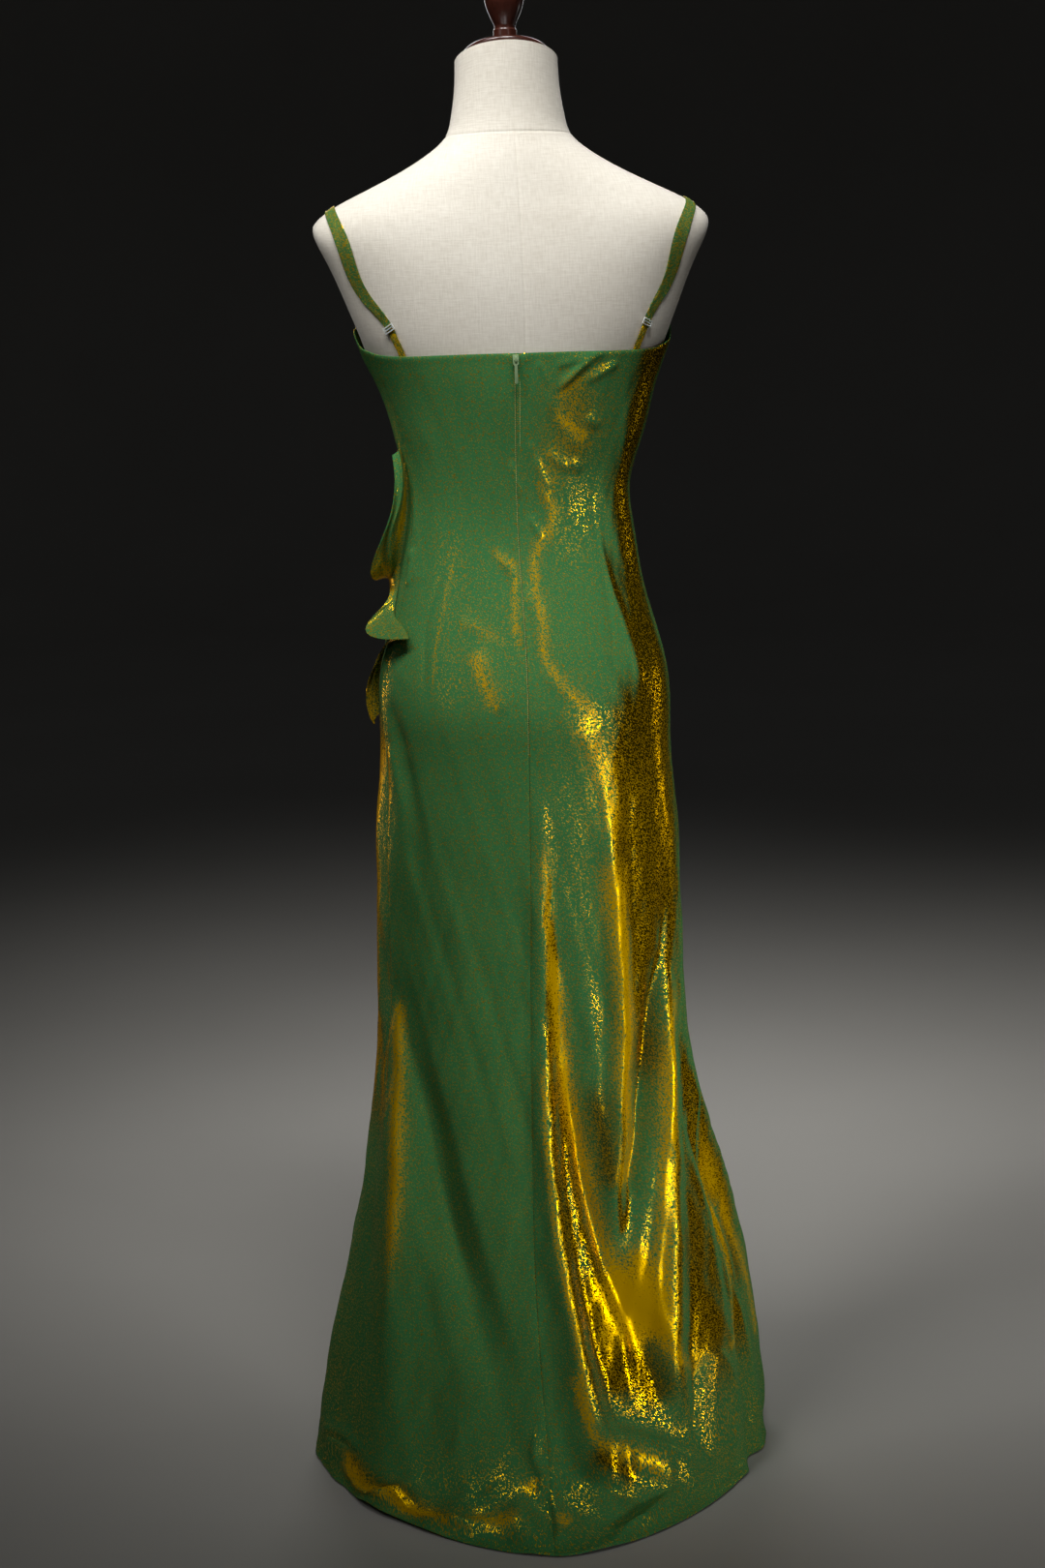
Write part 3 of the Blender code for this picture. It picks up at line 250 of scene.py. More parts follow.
def ring_radius(angle: Array, left: Array, right: Array, back: Array, front: Array,
                power: Array, cut: Array) -> Array:
    """Distance of a rounded ring from the middle, cut flat at the arm plates.

    Args:
        angle: Meridian angles in degrees.
        left, right, back, front: Half sizes of the ring.
        power: Roundness, 2 for an ellipse.
        cut: Distance of the flat arm plate from the middle.

    Returns:
        The ring's radius at each angle.
    """
    across = np.sin(np.radians(angle))
    along = np.cos(np.radians(angle))
    half = np.where(across > 0.0, left, right)
    deep = np.where(along > 0.0, back, front)
    radius = (np.abs(across / half) ** power + np.abs(along / deep) ** power) ** (-1.0 / power)
    limit = cut / np.maximum(np.abs(across), 1e-6)
    gap = np.clip(0.5 + 0.5 * (limit - radius) / PLATE_BLEND, 0.0, 1.0)
    return limit * (1.0 - gap) + radius * gap - PLATE_BLEND * gap * (1.0 - gap)


def bust(x: Array, height: Array, front_share: Array) -> Array:
    """Forward swell of the bust's two soft mounds.

    Args:
        x: Place across.
        height: Place up.
        front_share: 1 at the centre front, 0 at the side and behind.

    Returns:
        The swell in metres.
    """
    swell = np.exp(-((np.abs(x) - BUST_ACROSS) / BUST_SPREAD[0]) ** 2
                   - ((height - BUST_HEIGHT) / BUST_SPREAD[1]) ** 2)
    return BUST_DEPTH * swell * np.clip(front_share, 0.0, 1.0) ** 1.5


def form_point(angle: Any, height: Any, out: Any = 0.0) -> Array:
    """Point on the dress form's linen.

    Args:
        angle: Meridian angles in degrees.
        height: Heights of the ring.
        out: Distance to move out.

    Returns:
        Points of three coordinates.
    """
    angle, height = np.broadcast_arrays(np.asarray(angle, float), np.asarray(height, float))
    half = FORM.read("half", height) + out
    radius = ring_radius(angle, half, half, FORM.read("back", height) + out,
                         FORM.read("front", height) + out, FORM.read("power", height),
                         FORM.read("cut", height) + out)
    along = np.cos(np.radians(angle))
    x = radius * np.sin(np.radians(angle))
    y = radius * along - bust(x, height, -along)
    return np.stack([x, y, height + FORM.read("slope", height) * y], axis=-1)


# ---------------------------------------------------------------- folds of the cloth

@dataclass(frozen=True)
class Fold:
    """Broad ridge (or trough) down the cloth: its angles at the start, full and end drops."""

    start_angle: float
    full_angle: float
    end_angle: float
    start: float
    full: float
    end: float
    height: float
    end_height: float
    width_left: float
    width_right: float

    def lift(self, angle: Array, drop: Array) -> Array:
        """How far the fold moves the cloth.

        Args:
            angle: Meridian angles in degrees.
            drop: Drops.

        Returns:
            Distances in metres.
        """
        upper = np.clip((drop - self.start) / (self.full - self.start), 0.0, 1.0)
        lower = np.clip((drop - self.full) / (self.end - self.full), 0.0, 1.0)
        centre = self.start_angle + turn_between(self.full_angle, self.start_angle) * upper
        centre = centre + turn_between(self.end_angle, self.full_angle) * lower
        away = turn_between(angle, centre)
        width = np.where(away > 0.0, self.width_left, self.width_right)
        shape = np.cos(0.5 * np.pi * np.clip(away / width, -1.0, 1.0)) ** 2
        size = self.height + (self.end_height - self.height) * lower
        if self.end < HEM_DROP:
            size = size * (1.0 - smooth_step(self.end, self.end + FOLD_FADE, drop))
        return size * smooth_step(self.start, self.full, drop) * shape


FOLDS = tuple(Fold(*row) for row in (
    (88.0, 92.0, 94.0, 0.40, 0.62, 1.335, 0.006, 0.004, 16.0, 15.0),
    (71.0, 64.0, 56.0, 0.41, 0.47, 0.56, -0.006, -0.002, 9.0, 8.0),
    (77.0, 60.0, 50.0, 0.66, 1.02, 1.335, 0.012, 0.008, 16.0, 15.0),
    (75.0, 39.0, 17.0, 0.67, 0.99, 1.14, -0.011, -0.006, 15.0, 15.0),
    (-4.0, -3.0, -15.0, 0.46, 0.94, 1.21, 0.008, 0.015, 13.0, 7.0),
    (-8.0, -18.0, -32.0, 0.58, 0.94, 1.10, -0.010, -0.004, 7.0, 11.0),
    (-37.0, -40.0, -29.0, 0.40, 0.78, 1.00, 0.011, 0.002, 9.0, 8.0),
    (-67.0, -46.0, -31.0, 0.62, 0.88, 1.01, -0.011, -0.004, 8.0, 8.0),
    (-68.0, -57.0, -42.0, 0.66, 0.92, 1.13, 0.013, 0.014, 8.0, 9.0),
    (-69.0, -80.0, -70.0, 0.72, 1.00, 1.335, -0.013, -0.010, 9.0, 8.0),
    (-75.0, -99.0, -102.0, 0.70, 1.04, 1.335, 0.020, 0.016, 12.0, 12.0),
    (-116.0, -122.0, -126.0, 0.70, 1.05, 1.335, -0.013, -0.014, 12.0, 12.0),
    (-138.0, -144.0, -148.0, 0.62, 1.05, 1.335, 0.014, 0.018, 15.0, 14.0),
    (-160.0, -166.0, -168.0, 0.74, 1.08, 1.335, -0.011, -0.013, 13.0, 12.0),
    (178.0, 174.0, 171.0, 0.66, 1.06, 1.335, 0.013, 0.017, 15.0, 14.0),
    (156.0, 152.0, 149.0, 0.70, 1.05, 1.335, -0.012, -0.014, 12.0, 13.0),
    (134.0, 130.0, 128.0, 0.56, 1.02, 1.335, 0.010, 0.012, 14.0, 13.0),
    (112.0, 110.0, 109.0, 0.74, 1.06, 1.335, -0.010, -0.012, 11.0, 11.0),
))


@dataclass(frozen=True)
class Crumple:
    """Hump of the cloth where it lies on the floor."""

    angle: float
    drop: float
    turn: float
    height: float
    long: float
    wide: float

    def lift(self, angle: Array, drop: Array) -> Array:
        """Height of the hump at each angle and drop."""
        round_way = np.radians(turn_between(angle, self.angle)) * TRAIN_REACH
        down_way = drop - self.drop
        cos_turn = math.cos(math.radians(self.turn))
        sin_turn = math.sin(math.radians(self.turn))
        run = down_way * cos_turn + round_way * sin_turn
        side = round_way * cos_turn - down_way * sin_turn
        return self.height * np.exp(-2.0 * (run / self.long) ** 2 - (side / self.wide) ** 2)


CRUMPLES = (
    Crumple(-58.0, 1.195, 12.0, 0.030, 0.080, 0.034),
    Crumple(-30.0, 1.235, -62.0, 0.022, 0.080, 0.020),
    Crumple(-24.0, 1.300, 66.0, 0.012, 0.085, 0.013),
    Crumple(10.0, 1.285, -20.0, 0.010, 0.060, 0.018),
    Crumple(26.0, 1.308, 72.0, 0.011, 0.075, 0.013),
    Crumple(46.0, 1.290, 40.0, 0.013, 0.070, 0.016),
    Crumple(72.0, 1.270, 80.0, 0.012, 0.080, 0.014),
)


@dataclass(frozen=True)
class Crease:
    """Narrow ridge (or trough) along a path of (angle, drop) points.

    Seen from outside by someone who walks along the path, right and left are its widths on
    the two hands, in millimetres as the height is. fade is the share of its length over which
    it rises at the start and sinks at the end.
    """

    height: float
    right: float
    left: float
    fade: tuple[float, float]
    path: tuple[tuple[float, float], ...]

    def samples(self) -> Array:
        """Points of the smoothed path, close enough together to measure from."""
        knots = np.arange(len(self.path), dtype=float)
        count = max(3, 6 * (len(self.path) - 1) + 1)
        at = np.linspace(0.0, knots[-1], count)
        if len(self.path) == 2:
            return np.stack([np.interp(at, knots, [p[i] for p in self.path]) for i in (0, 1)], -1)
        return np.stack([Curve(knots, [p[i] for p in self.path]).read(at) for i in (0, 1)], -1)

    def add(self, total: Array, angle: Array, drop: Array, girth: Array) -> None:
        """Adds the crease to heights, in place.

        Args:
            total: Heights to add to.
            angle: Meridian angles in degrees.
            drop: Drops.
            girth: Metres of cloth for a degree of angle.
        """
        path = self.samples()
        reach = 2.6 * max(self.right, self.left) * MM
        low, high = path.min(axis=0), path.max(axis=0)
        middle = 0.5 * (low[0] + high[0])
        span = 0.5 * (high[0] - low[0])
        near = (np.abs(turn_between(angle, middle)) * girth < span * girth + reach)
        near &= (drop > low[1] - reach) & (drop < high[1] + reach)
        if not near.any():
            return
        a, d, g = angle[near], drop[near], girth[near]
        best = np.full(a.shape, 1e9)
        hand = np.zeros(a.shape)
        share = np.zeros(a.shape)
        steps = len(path) - 1
        for i in range(steps):
            x0 = turn_between(a, path[i, 0]) * g
            y0 = d - path[i, 1]
            sx = (path[i + 1, 0] - path[i, 0]) * g
            sy = path[i + 1, 1] - path[i, 1]
            t = np.clip((x0 * sx + y0 * sy) / (sx * sx + sy * sy), 0.0, 1.0)
            ex, ey = x0 - t * sx, y0 - t * sy
            away = np.hypot(ex, ey)
            closer = away < best
            best = np.where(closer, away, best)
            hand = np.where(closer, sx * ey - sy * ex, hand)
            share = np.where(closer, (i + t) / steps, share)
        wide = np.where(hand < 0.0, self.right, self.left) * MM
        size = self.height * MM * smooth_step(0.0, max(self.fade[0], 1e-3), share)
        size = size * smooth_step(0.0, max(self.fade[1], 1e-3), 1.0 - share)
        total[near] += size * np.exp(-(best / wide) ** 1.7)


# height, right, left, fade, path; on a path that runs down, right is the wearer's left
CREASE_ROWS = (
    # puckers at the top of the zip
    (0.8, 2.5, 3.0, (.05, .6), ((7.2, .0735), (7.0, .080), (6.6, .092))),
    (0.8, 3.0, 2.5, (.05, .6), ((-3.0, .0735), (-3.4, .080), (-4.4, .090))),
    # bodice, right of the zip: gathers that fan out from the neckline
    (1.0, 4.0, 3.0, (.3, .4), ((-10.0, .079), (-14.0, .092), (-18.5, .115))),
    (1.6, 3.5, 5.0, (.3, .3), ((-18.5, .115), (-29.5, .098), (-40.0, .080), (-47.5, .075))),
    (1.2, 3.0, 4.0, (.3, .3), ((-19.0, .087), (-30.0, .083), (-41.0, .077))),
    (1.3, 3.5, 4.5, (.4, .3), ((-35.5, .107), (-45.5, .095), (-55.0, .083))),
    (1.4, 3.0, 4.0, (.4, .3), ((-22.0, .117), (-33.0, .092), (-40.5, .083))),
    (1.2, 4.0, 7.0, (.4, .4), ((-39.0, .138), (-44.5, .145), (-49.5, .152))),
    (1.0, 5.0, 6.0, (.4, .4), ((-31.0, .185), (-37.5, .188), (-42.0, .198))),
    (1.0, 4.0, 6.0, (.3, .4), ((-16.0, .168), (-22.5, .180), (-30.0, .188), (-37.0, .193))),
    (1.1, 5.0, 4.5, (.2, .4), ((-4.0, .155), (-8.5, .177), (-13.0, .205), (-16.5, .217),
                               (-25.0, .225))),
    (0.9, 5.0, 4.0, (.3, .4), ((-8.0, .172), (-14.5, .195), (-22.5, .217))),
    (1.0, 6.0, 9.0, (.3, .4), ((-12.0, .098), (-22.0, .135), (-34.0, .165), (-44.0, .172))),
    # along the zip
    (1.4, 4.0, 4.0, (.3, .4), ((8.5, .177), (5.0, .200), (2.5, .225))),
    (2.1, 4.5, 6.5, (.4, .15), ((25.0, .263), (16.0, .282), (10.0, .292), (6.0, .300))),
    (1.9, 4.5, 6.0, (.3, .4), ((10.0, .292), (6.5, .312), (4.0, .345), (3.0, .372))),
    (1.8, 5.0, 6.5, (.3, .3), ((-.5, .300), (-3.0, .330), (-5.5, .352), (-5.0, .385))),
    (-1.3, 4.5, 5.0, (.3, .3), ((-9.0, .262), (-8.0, .300), (-10.0, .340))),
    (1.5, 4.0, 5.5, (.3, .3), ((-4.0, .235), (-9.0, .250), (-15.0, .262))),
    # small of the back and the hip
    (2.0, 7.0, 12.0, (.35, .35), ((32.0, .362), (23.0, .388), (15.5, .420), (11.5, .438))),
    (1.1, 6.0, 9.0, (.3, .4), ((-4.0, .388), (-10.0, .403), (-16.5, .415), (-22.5, .430))),
    (1.4, 7.0, 14.0, (.3, .4), ((-17.5, .400), (-23.5, .415), (-34.0, .435), (-40.5, .455))),
    (1.2, 8.0, 18.0, (.3, .3), ((-20.0, .440), (-27.0, .475), (-33.0, .520), (-36.0, .570))),
    (0.8, 4.0, 6.0, (.4, .4), ((44.0, .338), (33.0, .345), (22.0, .356))),
    (-.7, 3.0, 3.0, (.2, .3), ((46.0, .225), (54.0, .300), (56.0, .350), (52.0, .388),
                               (50.0, .443))),
    (-.7, 3.0, 3.0, (.2, .3), ((-49.0, .185), (-51.0, .285), (-48.0, .345), (-40.0, .415))),
    (1.1, 12.0, 10.0, (.4, .4), ((62.0, .120), (57.0, .180), (60.0, .240))),
    (1.2, 10.0, 14.0, (.4, .4), ((-62.0, .110), (-66.0, .180), (-66.0, .250), (-62.0, .320))),
    (2.2, 9.0, 5.0, (.3, .3), ((-52.0, .240), (-53.0, .300), (-55.0, .370), (-54.0, .440))),
    # the wearer's left side below the flounce
    (1.6, 9.0, 7.0, (.2, .5), ((74.0, .470), (69.0, .500), (63.0, .540), (58.0, .600))),
    (1.5, 14.0, 14.0, (.4, .4), ((71.0, .430), (65.0, .467), (60.0, .505))),
    (2.2, 5.0, 5.0, (.2, .2), ((74.5, .268), (73.5, .285), (74.0, .312))),
    (0.5, 4.5, 6.0, (.2, .5), ((70.0, .390), (62.0, .402), (54.0, .420))),
    (0.5, 4.5, 6.0, (.2, .5), ((71.0, .345), (64.0, .352), (57.0, .366))),
    (0.4, 4.5, 6.0, (.2, .5), ((71.0, .300), (64.0, .298), (57.0, .303))),
    # skirt, right back: the edge beside the centre seam, the hip folds and the U between them
    (4.4, 13.0, 11.0, (.12, .12), ((-3.5, .490), (-2.5, .570), (-1.0, .650), (-1.0, .730),
                                   (-1.0, .792), (-.5, .853), (-1.5, .920), (-4.0, 1.002),
                                   (-8.0, 1.073), (-10.0, 1.143), (-12.0, 1.195))),
    (-5.0, 19.0, 10.0, (.15, .3), ((-5.5, .640), (-6.5, .770), (-12.0, .850), (-16.0, .910),
                                   (-19.5, .965), (-23.0, 1.020), (-28.0, 1.067),
                                   (-33.0, 1.115))),
    (4.2, 12.0, 9.0, (.2, .15), ((-30.0, .480), (-34.0, .573), (-35.5, .650), (-37.5, .730),
                                 (-36.5, .800), (-34.0, .870), (-34.0, .915), (-29.5, .970))),
    (-5.0, 14.0, 6.0, (.25, .2), ((-62.0, .560), (-66.0, .627), (-64.0, .693), (-58.0, .748),
                                  (-54.0, .797), (-49.5, .855), (-44.0, .902), (-37.0, .940),
                                  (-31.0, .970))),
    (5.0, 8.0, 6.0, (.2, .2), ((-70.5, .723), (-63.0, .785), (-58.5, .850), (-54.5, .895),
                               (-50.0, .943), (-45.5, .998), (-42.0, 1.040), (-40.5, 1.083),
                               (-43.0, 1.130))),
    (6.0, 10.0, 5.5, (.3, .2), ((-75.0, .820), (-76.0, .885), (-74.0, .943), (-74.5, .990),
                                (-78.0, 1.040), (-78.0, 1.090), (-74.0, 1.130),
                                (-64.0, 1.175))),
    (-7.0, 6.0, 7.0, (.3, .3), ((-82.0, .890), (-85.0, .960), (-88.0, 1.015), (-88.0, 1.070),
                                (-86.0, 1.115), (-84.0, 1.155))),
    (3.0, 7.0, 7.0, (.2, .2), ((-74.0, .815), (-92.0, .955), (-100.0, 1.100), (-101.0, 1.170))),
    (2.0, 8.0, 8.0, (.3, .3), ((-24.0, .700), (-26.0, .800), (-29.0, .900), (-31.0, 1.000))),
    (1.6, 7.0, 8.0, (.3, .3), ((-28.0, 1.060), (-26.0, 1.120), (-28.0, 1.180))),
    (5.0, 9.0, 12.0, (.2, .2), ((-16.0, 1.175), (-22.0, 1.230), (-29.0, 1.250), (-34.0, 1.275))),
    (-4.5, 9.0, 9.0, (.3, .3), ((-2.0, 1.225), (-9.0, 1.240), (-17.0, 1.262), (-26.0, 1.285))),
    (-4.0, 6.0, 7.0, (.3, .3), ((-50.0, 1.140), (-47.0, 1.190), (-45.0, 1.235))),
    (3.0, 8.0, 8.0, (.3, .3), ((-57.0, 1.150), (-64.0, 1.200), (-60.0, 1.255), (-50.0, 1.265))),
    (-3.0, 6.0, 8.0, (.3, .3), ((-68.0, 1.170), (-76.0, 1.230), (-70.0, 1.285))),
    # skirt, left back
    (3.4, 9.0, 9.0, (.2, .3), ((69.5, .720), (69.0, .772), (66.5, .833), (63.5, .892),
                               (61.0, .955), (59.5, 1.028), (59.0, 1.083), (60.0, 1.150))),
    (-3.0, 9.0, 12.0, (.2, .4), ((73.0, .700), (67.0, .770), (51.0, .870), (41.0, .980),
                                 (31.0, 1.040), (19.0, 1.085))),
    (1.4, 18.0, 16.0, (.4, .4), ((36.0, .560), (38.0, .680), (36.0, .800), (30.0, .900))),
    (1.5, 16.0, 14.0, (.4, .4), ((16.0, .900), (18.0, 1.000), (22.0, 1.100))),
    (2.0, 9.0, 12.0, (.4, .4), ((48.0, 1.090), (44.0, 1.150), (46.0, 1.210))),
    (1.6, 6.0, 8.0, (.4, .4), ((34.0, 1.160), (31.0, 1.190), (32.0, 1.220))),
    # train
    (4.5, 7.0, 9.0, (.3, .3), ((71.5, 1.278), (56.5, 1.300), (43.5, 1.312))),
    (4.5, 6.0, 8.0, (.3, .3), ((50.0, 1.286), (39.0, 1.300), (29.0, 1.308), (19.0, 1.300))),
    (-3.0, 6.0, 6.0, (.3, .3), ((60.0, 1.265), (47.0, 1.283), (36.0, 1.292))),
    (4.0, 5.0, 6.0, (.2, .3), ((4.5, 1.177), (7.0, 1.212), (4.0, 1.235), (9.5, 1.278))),
    (3.5, 5.0, 6.0, (.3, .3), ((-1.0, 1.210), (2.0, 1.250), (0.5, 1.290), (3.0, 1.318))),
    (3.5, 7.0, 7.0, (.3, .3), ((88.0, 1.270), (76.0, 1.240), (66.0, 1.236), (56.0, 1.250))),
    (2.6, 6.0, 7.0, (.3, .3), ((14.0, 1.235), (22.0, 1.262), (34.0, 1.272))),
    (3.0, 6.0, 7.0, (.3, .3), ((-8.0, 1.296), (-16.0, 1.310), (-27.0, 1.308))),
    (3.0, 7.0, 6.0, (.3, .3), ((-40.0, 1.288), (-52.0, 1.300), (-64.0, 1.300))),
    # hidden front: drags at the bust and waist, then long soft folds
    (1.4, 4.0, 6.0, (.3, .4), ((100.0, .090), (112.0, .120), (126.0, .140))),
    (1.3, 4.0, 5.0, (.3, .4), ((98.0, .130), (111.0, .152), (127.0, .162))),
    (1.2, 4.0, 6.0, (.3, .4), ((-104.0, .100), (-116.0, .130), (-130.0, .148))),
    (1.1, 5.0, 5.0, (.4, .4), ((-102.0, .150), (-118.0, .170), (-134.0, .178))),
    (-1.0, 5.0, 6.0, (.4, .4), ((168.0, .075), (172.0, .120), (180.0, .150), (188.0, .160))),
    (1.2, 6.0, 7.0, (.4, .4), ((158.0, .188), (180.0, .205), (200.0, .196))),
    (1.3, 4.0, 5.0, (.2, .5), ((92.0, .210), (106.0, .222), (124.0, .248), (140.0, .262))),
    (1.2, 4.0, 5.0, (.2, .5), ((92.0, .250), (108.0, .266), (126.0, .300))),
    (1.5, 5.0, 6.0, (.2, .5), ((92.0, .290), (109.0, .318), (128.0, .366), (146.0, .398))),
    (1.5, 5.0, 7.0, (.2, .5), ((92.0, .330), (106.0, .362), (122.0, .412), (136.0, .470))),
    (1.7, 6.0, 8.0, (.2, .5), ((93.0, .380), (108.0, .430), (124.0, .520), (134.0, .620))),
    (1.6, 6.0, 8.0, (.3, .5), ((-96.0, .290), (-112.0, .325), (-134.0, .345))),
    (1.4, 6.0, 8.0, (.3, .5), ((-98.0, .360), (-118.0, .405), (-140.0, .432), (-160.0, .440))),
    (3.2, 9.0, 7.0, (.3, .2), ((-130.0, .600), (-140.0, .800), (-145.0, 1.000), (-147.0, 1.250))),
    (3.0, 8.0, 9.0, (.3, .2), ((-158.0, .700), (-162.0, .900), (-158.0, 1.100), (-160.0, 1.270))),
    (3.2, 7.0, 9.0, (.3, .2), ((176.0, .620), (175.0, .820), (172.0, 1.050), (171.0, 1.270))),
    (-3.0, 8.0, 8.0, (.3, .3), ((160.0, .700), (153.0, .900), (150.0, 1.120), (149.0, 1.280))),
    (3.0, 8.0, 7.0, (.3, .2), ((136.0, .540), (131.0, .760), (128.0, 1.000), (127.0, 1.240))),
    (-3.0, 7.0, 8.0, (.3, .3), ((114.0, .720), (110.0, .900), (109.0, 1.100), (110.0, 1.280))),
    (2.8, 8.0, 8.0, (.3, .2), ((96.0, .500), (100.0, .700), (98.0, .900), (96.0, 1.120))),
    (2.4, 7.0, 8.0, (.3, .3), ((-112.0, .760), (-114.0, .900), (-112.0, 1.080), (-116.0, 1.240))),
    (-2.6, 7.0, 8.0, (.3, .3), ((-120.0, .700), (-124.0, .900), (-127.0, 1.100), (-128.0, 1.270))),
)
CREASES = tuple(Crease(*row) for row in CREASE_ROWS)

# painted shade: where a fold swings the cloth away, the green is painted down to brown, which
# stands in for shade and for the weave's colour at that angle; as above, but the height is a
# share, in thousandths
PAINTED_SHADE_ROWS = (
    (1.0, 8.0, 8.0, (.2, .2), ((-9.0, .780), (-11.0, .850), (-14.0, .917), (-15.0, 1.020))),
    (1.0, 22.0, 20.0, (.3, .3), ((-15.0, .990), (-18.0, 1.060), (-21.0, 1.130), (-22.0, 1.175))),
    (1.0, 18.0, 20.0, (.2, .2), ((-46.0, .560), (-49.5, .640), (-52.0, .750), (-50.0, .858))),
    (0.8, 14.0, 14.0, (.3, .3), ((-24.0, .807), (-28.0, .895), (-29.0, .953))),
    (0.8, 13.0, 12.0, (.3, .3), ((-56.5, .963), (-58.0, 1.073), (-56.5, 1.117))),
    (1.0, 12.0, 12.0, (.3, .3), ((-7.5, 1.205), (-17.0, 1.232), (-24.0, 1.252))),
    (1.0, 28.0, 26.0, (.3, .3), ((-24.0, 1.000), (-29.0, 1.080), (-33.0, 1.150), (-36.0, 1.190))),
    (0.8, 14.0, 14.0, (.3, .3), ((-36.0, 1.000), (-38.0, 1.050), (-38.0, 1.120))),
    (0.3, 26.0, 24.0, (.3, .3), ((-36.5, .090), (-34.0, .128), (-37.0, .170), (-42.0, .210))),
    (0.7, 16.0, 16.0, (.2, .2), ((70.0, 1.262), (56.0, 1.280), (40.0, 1.295), (22.0, 1.300))),
)
PAINTED_SHADES = tuple(Crease(*row) for row in PAINTED_SHADE_ROWS)

# the same for painted highlight: places where gold is painted on top as a glint
PAINTED_HIGHLIGHT_ROWS = (
    (1.7, 9.0, 11.0, (.1, .1), ((-4.0, .672), (-8.5, .728), (-10.5, .780), (-14.0, .848),
                                (-19.0, .920), (-23.0, .988), (-30.5, 1.052), (-33.5, 1.100))),
    (1.2, 28.0, 24.0, (.3, .3), ((-28.0, 1.010), (-30.5, 1.077), (-32.0, 1.120))),
    (1.4, 15.0, 15.0, (.3, .3), ((-36.0, .985), (-38.0, 1.050), (-38.0, 1.120))),
    (1.7, 12.0, 12.0, (.3, .3), ((26.0, 1.290), (17.0, 1.290), (9.0, 1.285))),
    (1.5, 9.0, 9.0, (.1, .2), ((-74.5, .715), (-60.0, .820), (-55.0, .890), (-48.0, .983),
                               (-43.0, 1.062), (-42.5, 1.125), (-62.0, 1.175))),
    (1.8, 12.0, 12.0, (.2, .1), ((-33.0, .562), (-36.5, .637), (-40.5, .752), (-38.5, .820),
                                 (-40.0, .885), (-32.0, .958))),
    (0.9, 7.0, 7.0, (.3, .3), ((-3.0, .557), (-4.5, .632), (-7.0, .738))),
    (1.3, 4.0, 4.0, (.1, .1), ((-1.0, .780), (-.5, .853), (-1.5, .920), (-4.0, 1.002),
                               (-8.0, 1.073), (-10.0, 1.143), (-12.0, 1.195))),
    (2.0, 8.0, 8.0, (.1, .4), ((69.5, .735), (68.5, .797), (63.5, .897), (60.0, 1.002),
                               (59.5, 1.083))),
    (1.8, 15.0, 14.0, (.2, .2), ((71.5, 1.272), (59.0, 1.287), (43.0, 1.300), (19.0, 1.305))),
    (1.3, 8.0, 8.0, (.3, .3), ((10.0, 1.255), (5.5, 1.228))),
    (1.3, 8.0, 8.0, (.3, .3), ((1.0, 1.268), (-2.0, 1.290))),
    (1.4, 6.0, 6.0, (.1, .1), ((-6.5, 1.117), (-11.0, 1.192), (-18.0, 1.218), (-33.5, 1.265))),
    (1.2, 6.0, 6.0, (.2, .1), ((-80.0, .880), (-91.0, 1.030), (-95.0, 1.127), (-94.0, 1.188))),
    (1.2, 5.0, 5.0, (.2, .1), ((-81.5, .930), (-83.5, 1.015), (-78.5, 1.103), (-63.0, 1.163))),
    (0.8, 26.0, 26.0, (.3, .3), ((-36.5, .085), (-31.0, .128), (-33.0, .163), (-41.0, .193))),
    (0.5, 14.0, 14.0, (.3, .3), ((-12.0, .160), (-20.0, .190), (-32.0, .215))),
    (0.9, 4.0, 5.0, (.2, .2), ((-22.0, .122), (-35.0, .100), (-49.5, .085))),
    (0.9, 4.0, 5.0, (.2, .2), ((-19.5, .133), (-32.0, .147), (-46.0, .163))),
    (1.1, 7.0, 8.0, (.2, .2), ((-7.5, .170), (-14.5, .210), (-22.0, .232), (-17.5, .255),
                               (-6.5, .285), (-8.5, .343), (-7.5, .370), (-15.0, .405),
                               (-27.0, .435), (-33.5, .455))),
    (1.0, 5.0, 6.0, (.2, .2), ((25.0, .263), (16.0, .282), (8.0, .292), (7.5, .340),
                               (4.0, .378))),
    (1.2, 8.0, 10.0, (.3, .3), ((29.5, .362), (25.5, .388), (18.5, .420), (15.5, .435))),
    (0.6, 4.0, 5.0, (.3, .3), ((44.5, .335), (22.0, .355), (8.5, .365))),
    (0.7, 2.0, 3.0, (.3, .3), ((47.0, .253), (49.0, .340), (45.5, .430))),
    (0.8, 15.0, 15.0, (.3, .3), ((-14.0, .417), (-24.5, .455), (-31.5, .490), (-35.5, .542),
                                 (-36.5, .593))),
)
PAINTED_HIGHLIGHTS = tuple(Crease(*row) for row in PAINTED_HIGHLIGHT_ROWS)


@dataclass(frozen=True)
class Wave:
    """One slow undulation of the hanging cloth, in millimetres and turns."""

    height: float
    across: float
    down: float
    phase: float


# lengths in millimetres across and down, negative down leans the other way
WAVES = (
    Wave(.30, 47.0, 210.0, .13), Wave(.22, 71.0, -160.0, .57), Wave(.20, 33.0, 120.0, .81),
    Wave(.28, 101.0, -340.0, .29), Wave(.14, 23.0, -90.0, .44), Wave(.12, 19.0, 63.0, .03),
    Wave(.25, 131.0, 95.0, .69), Wave(.10, 14.0, -48.0, .92),
)


# ---------------------------------------------------------------- shape of the gown

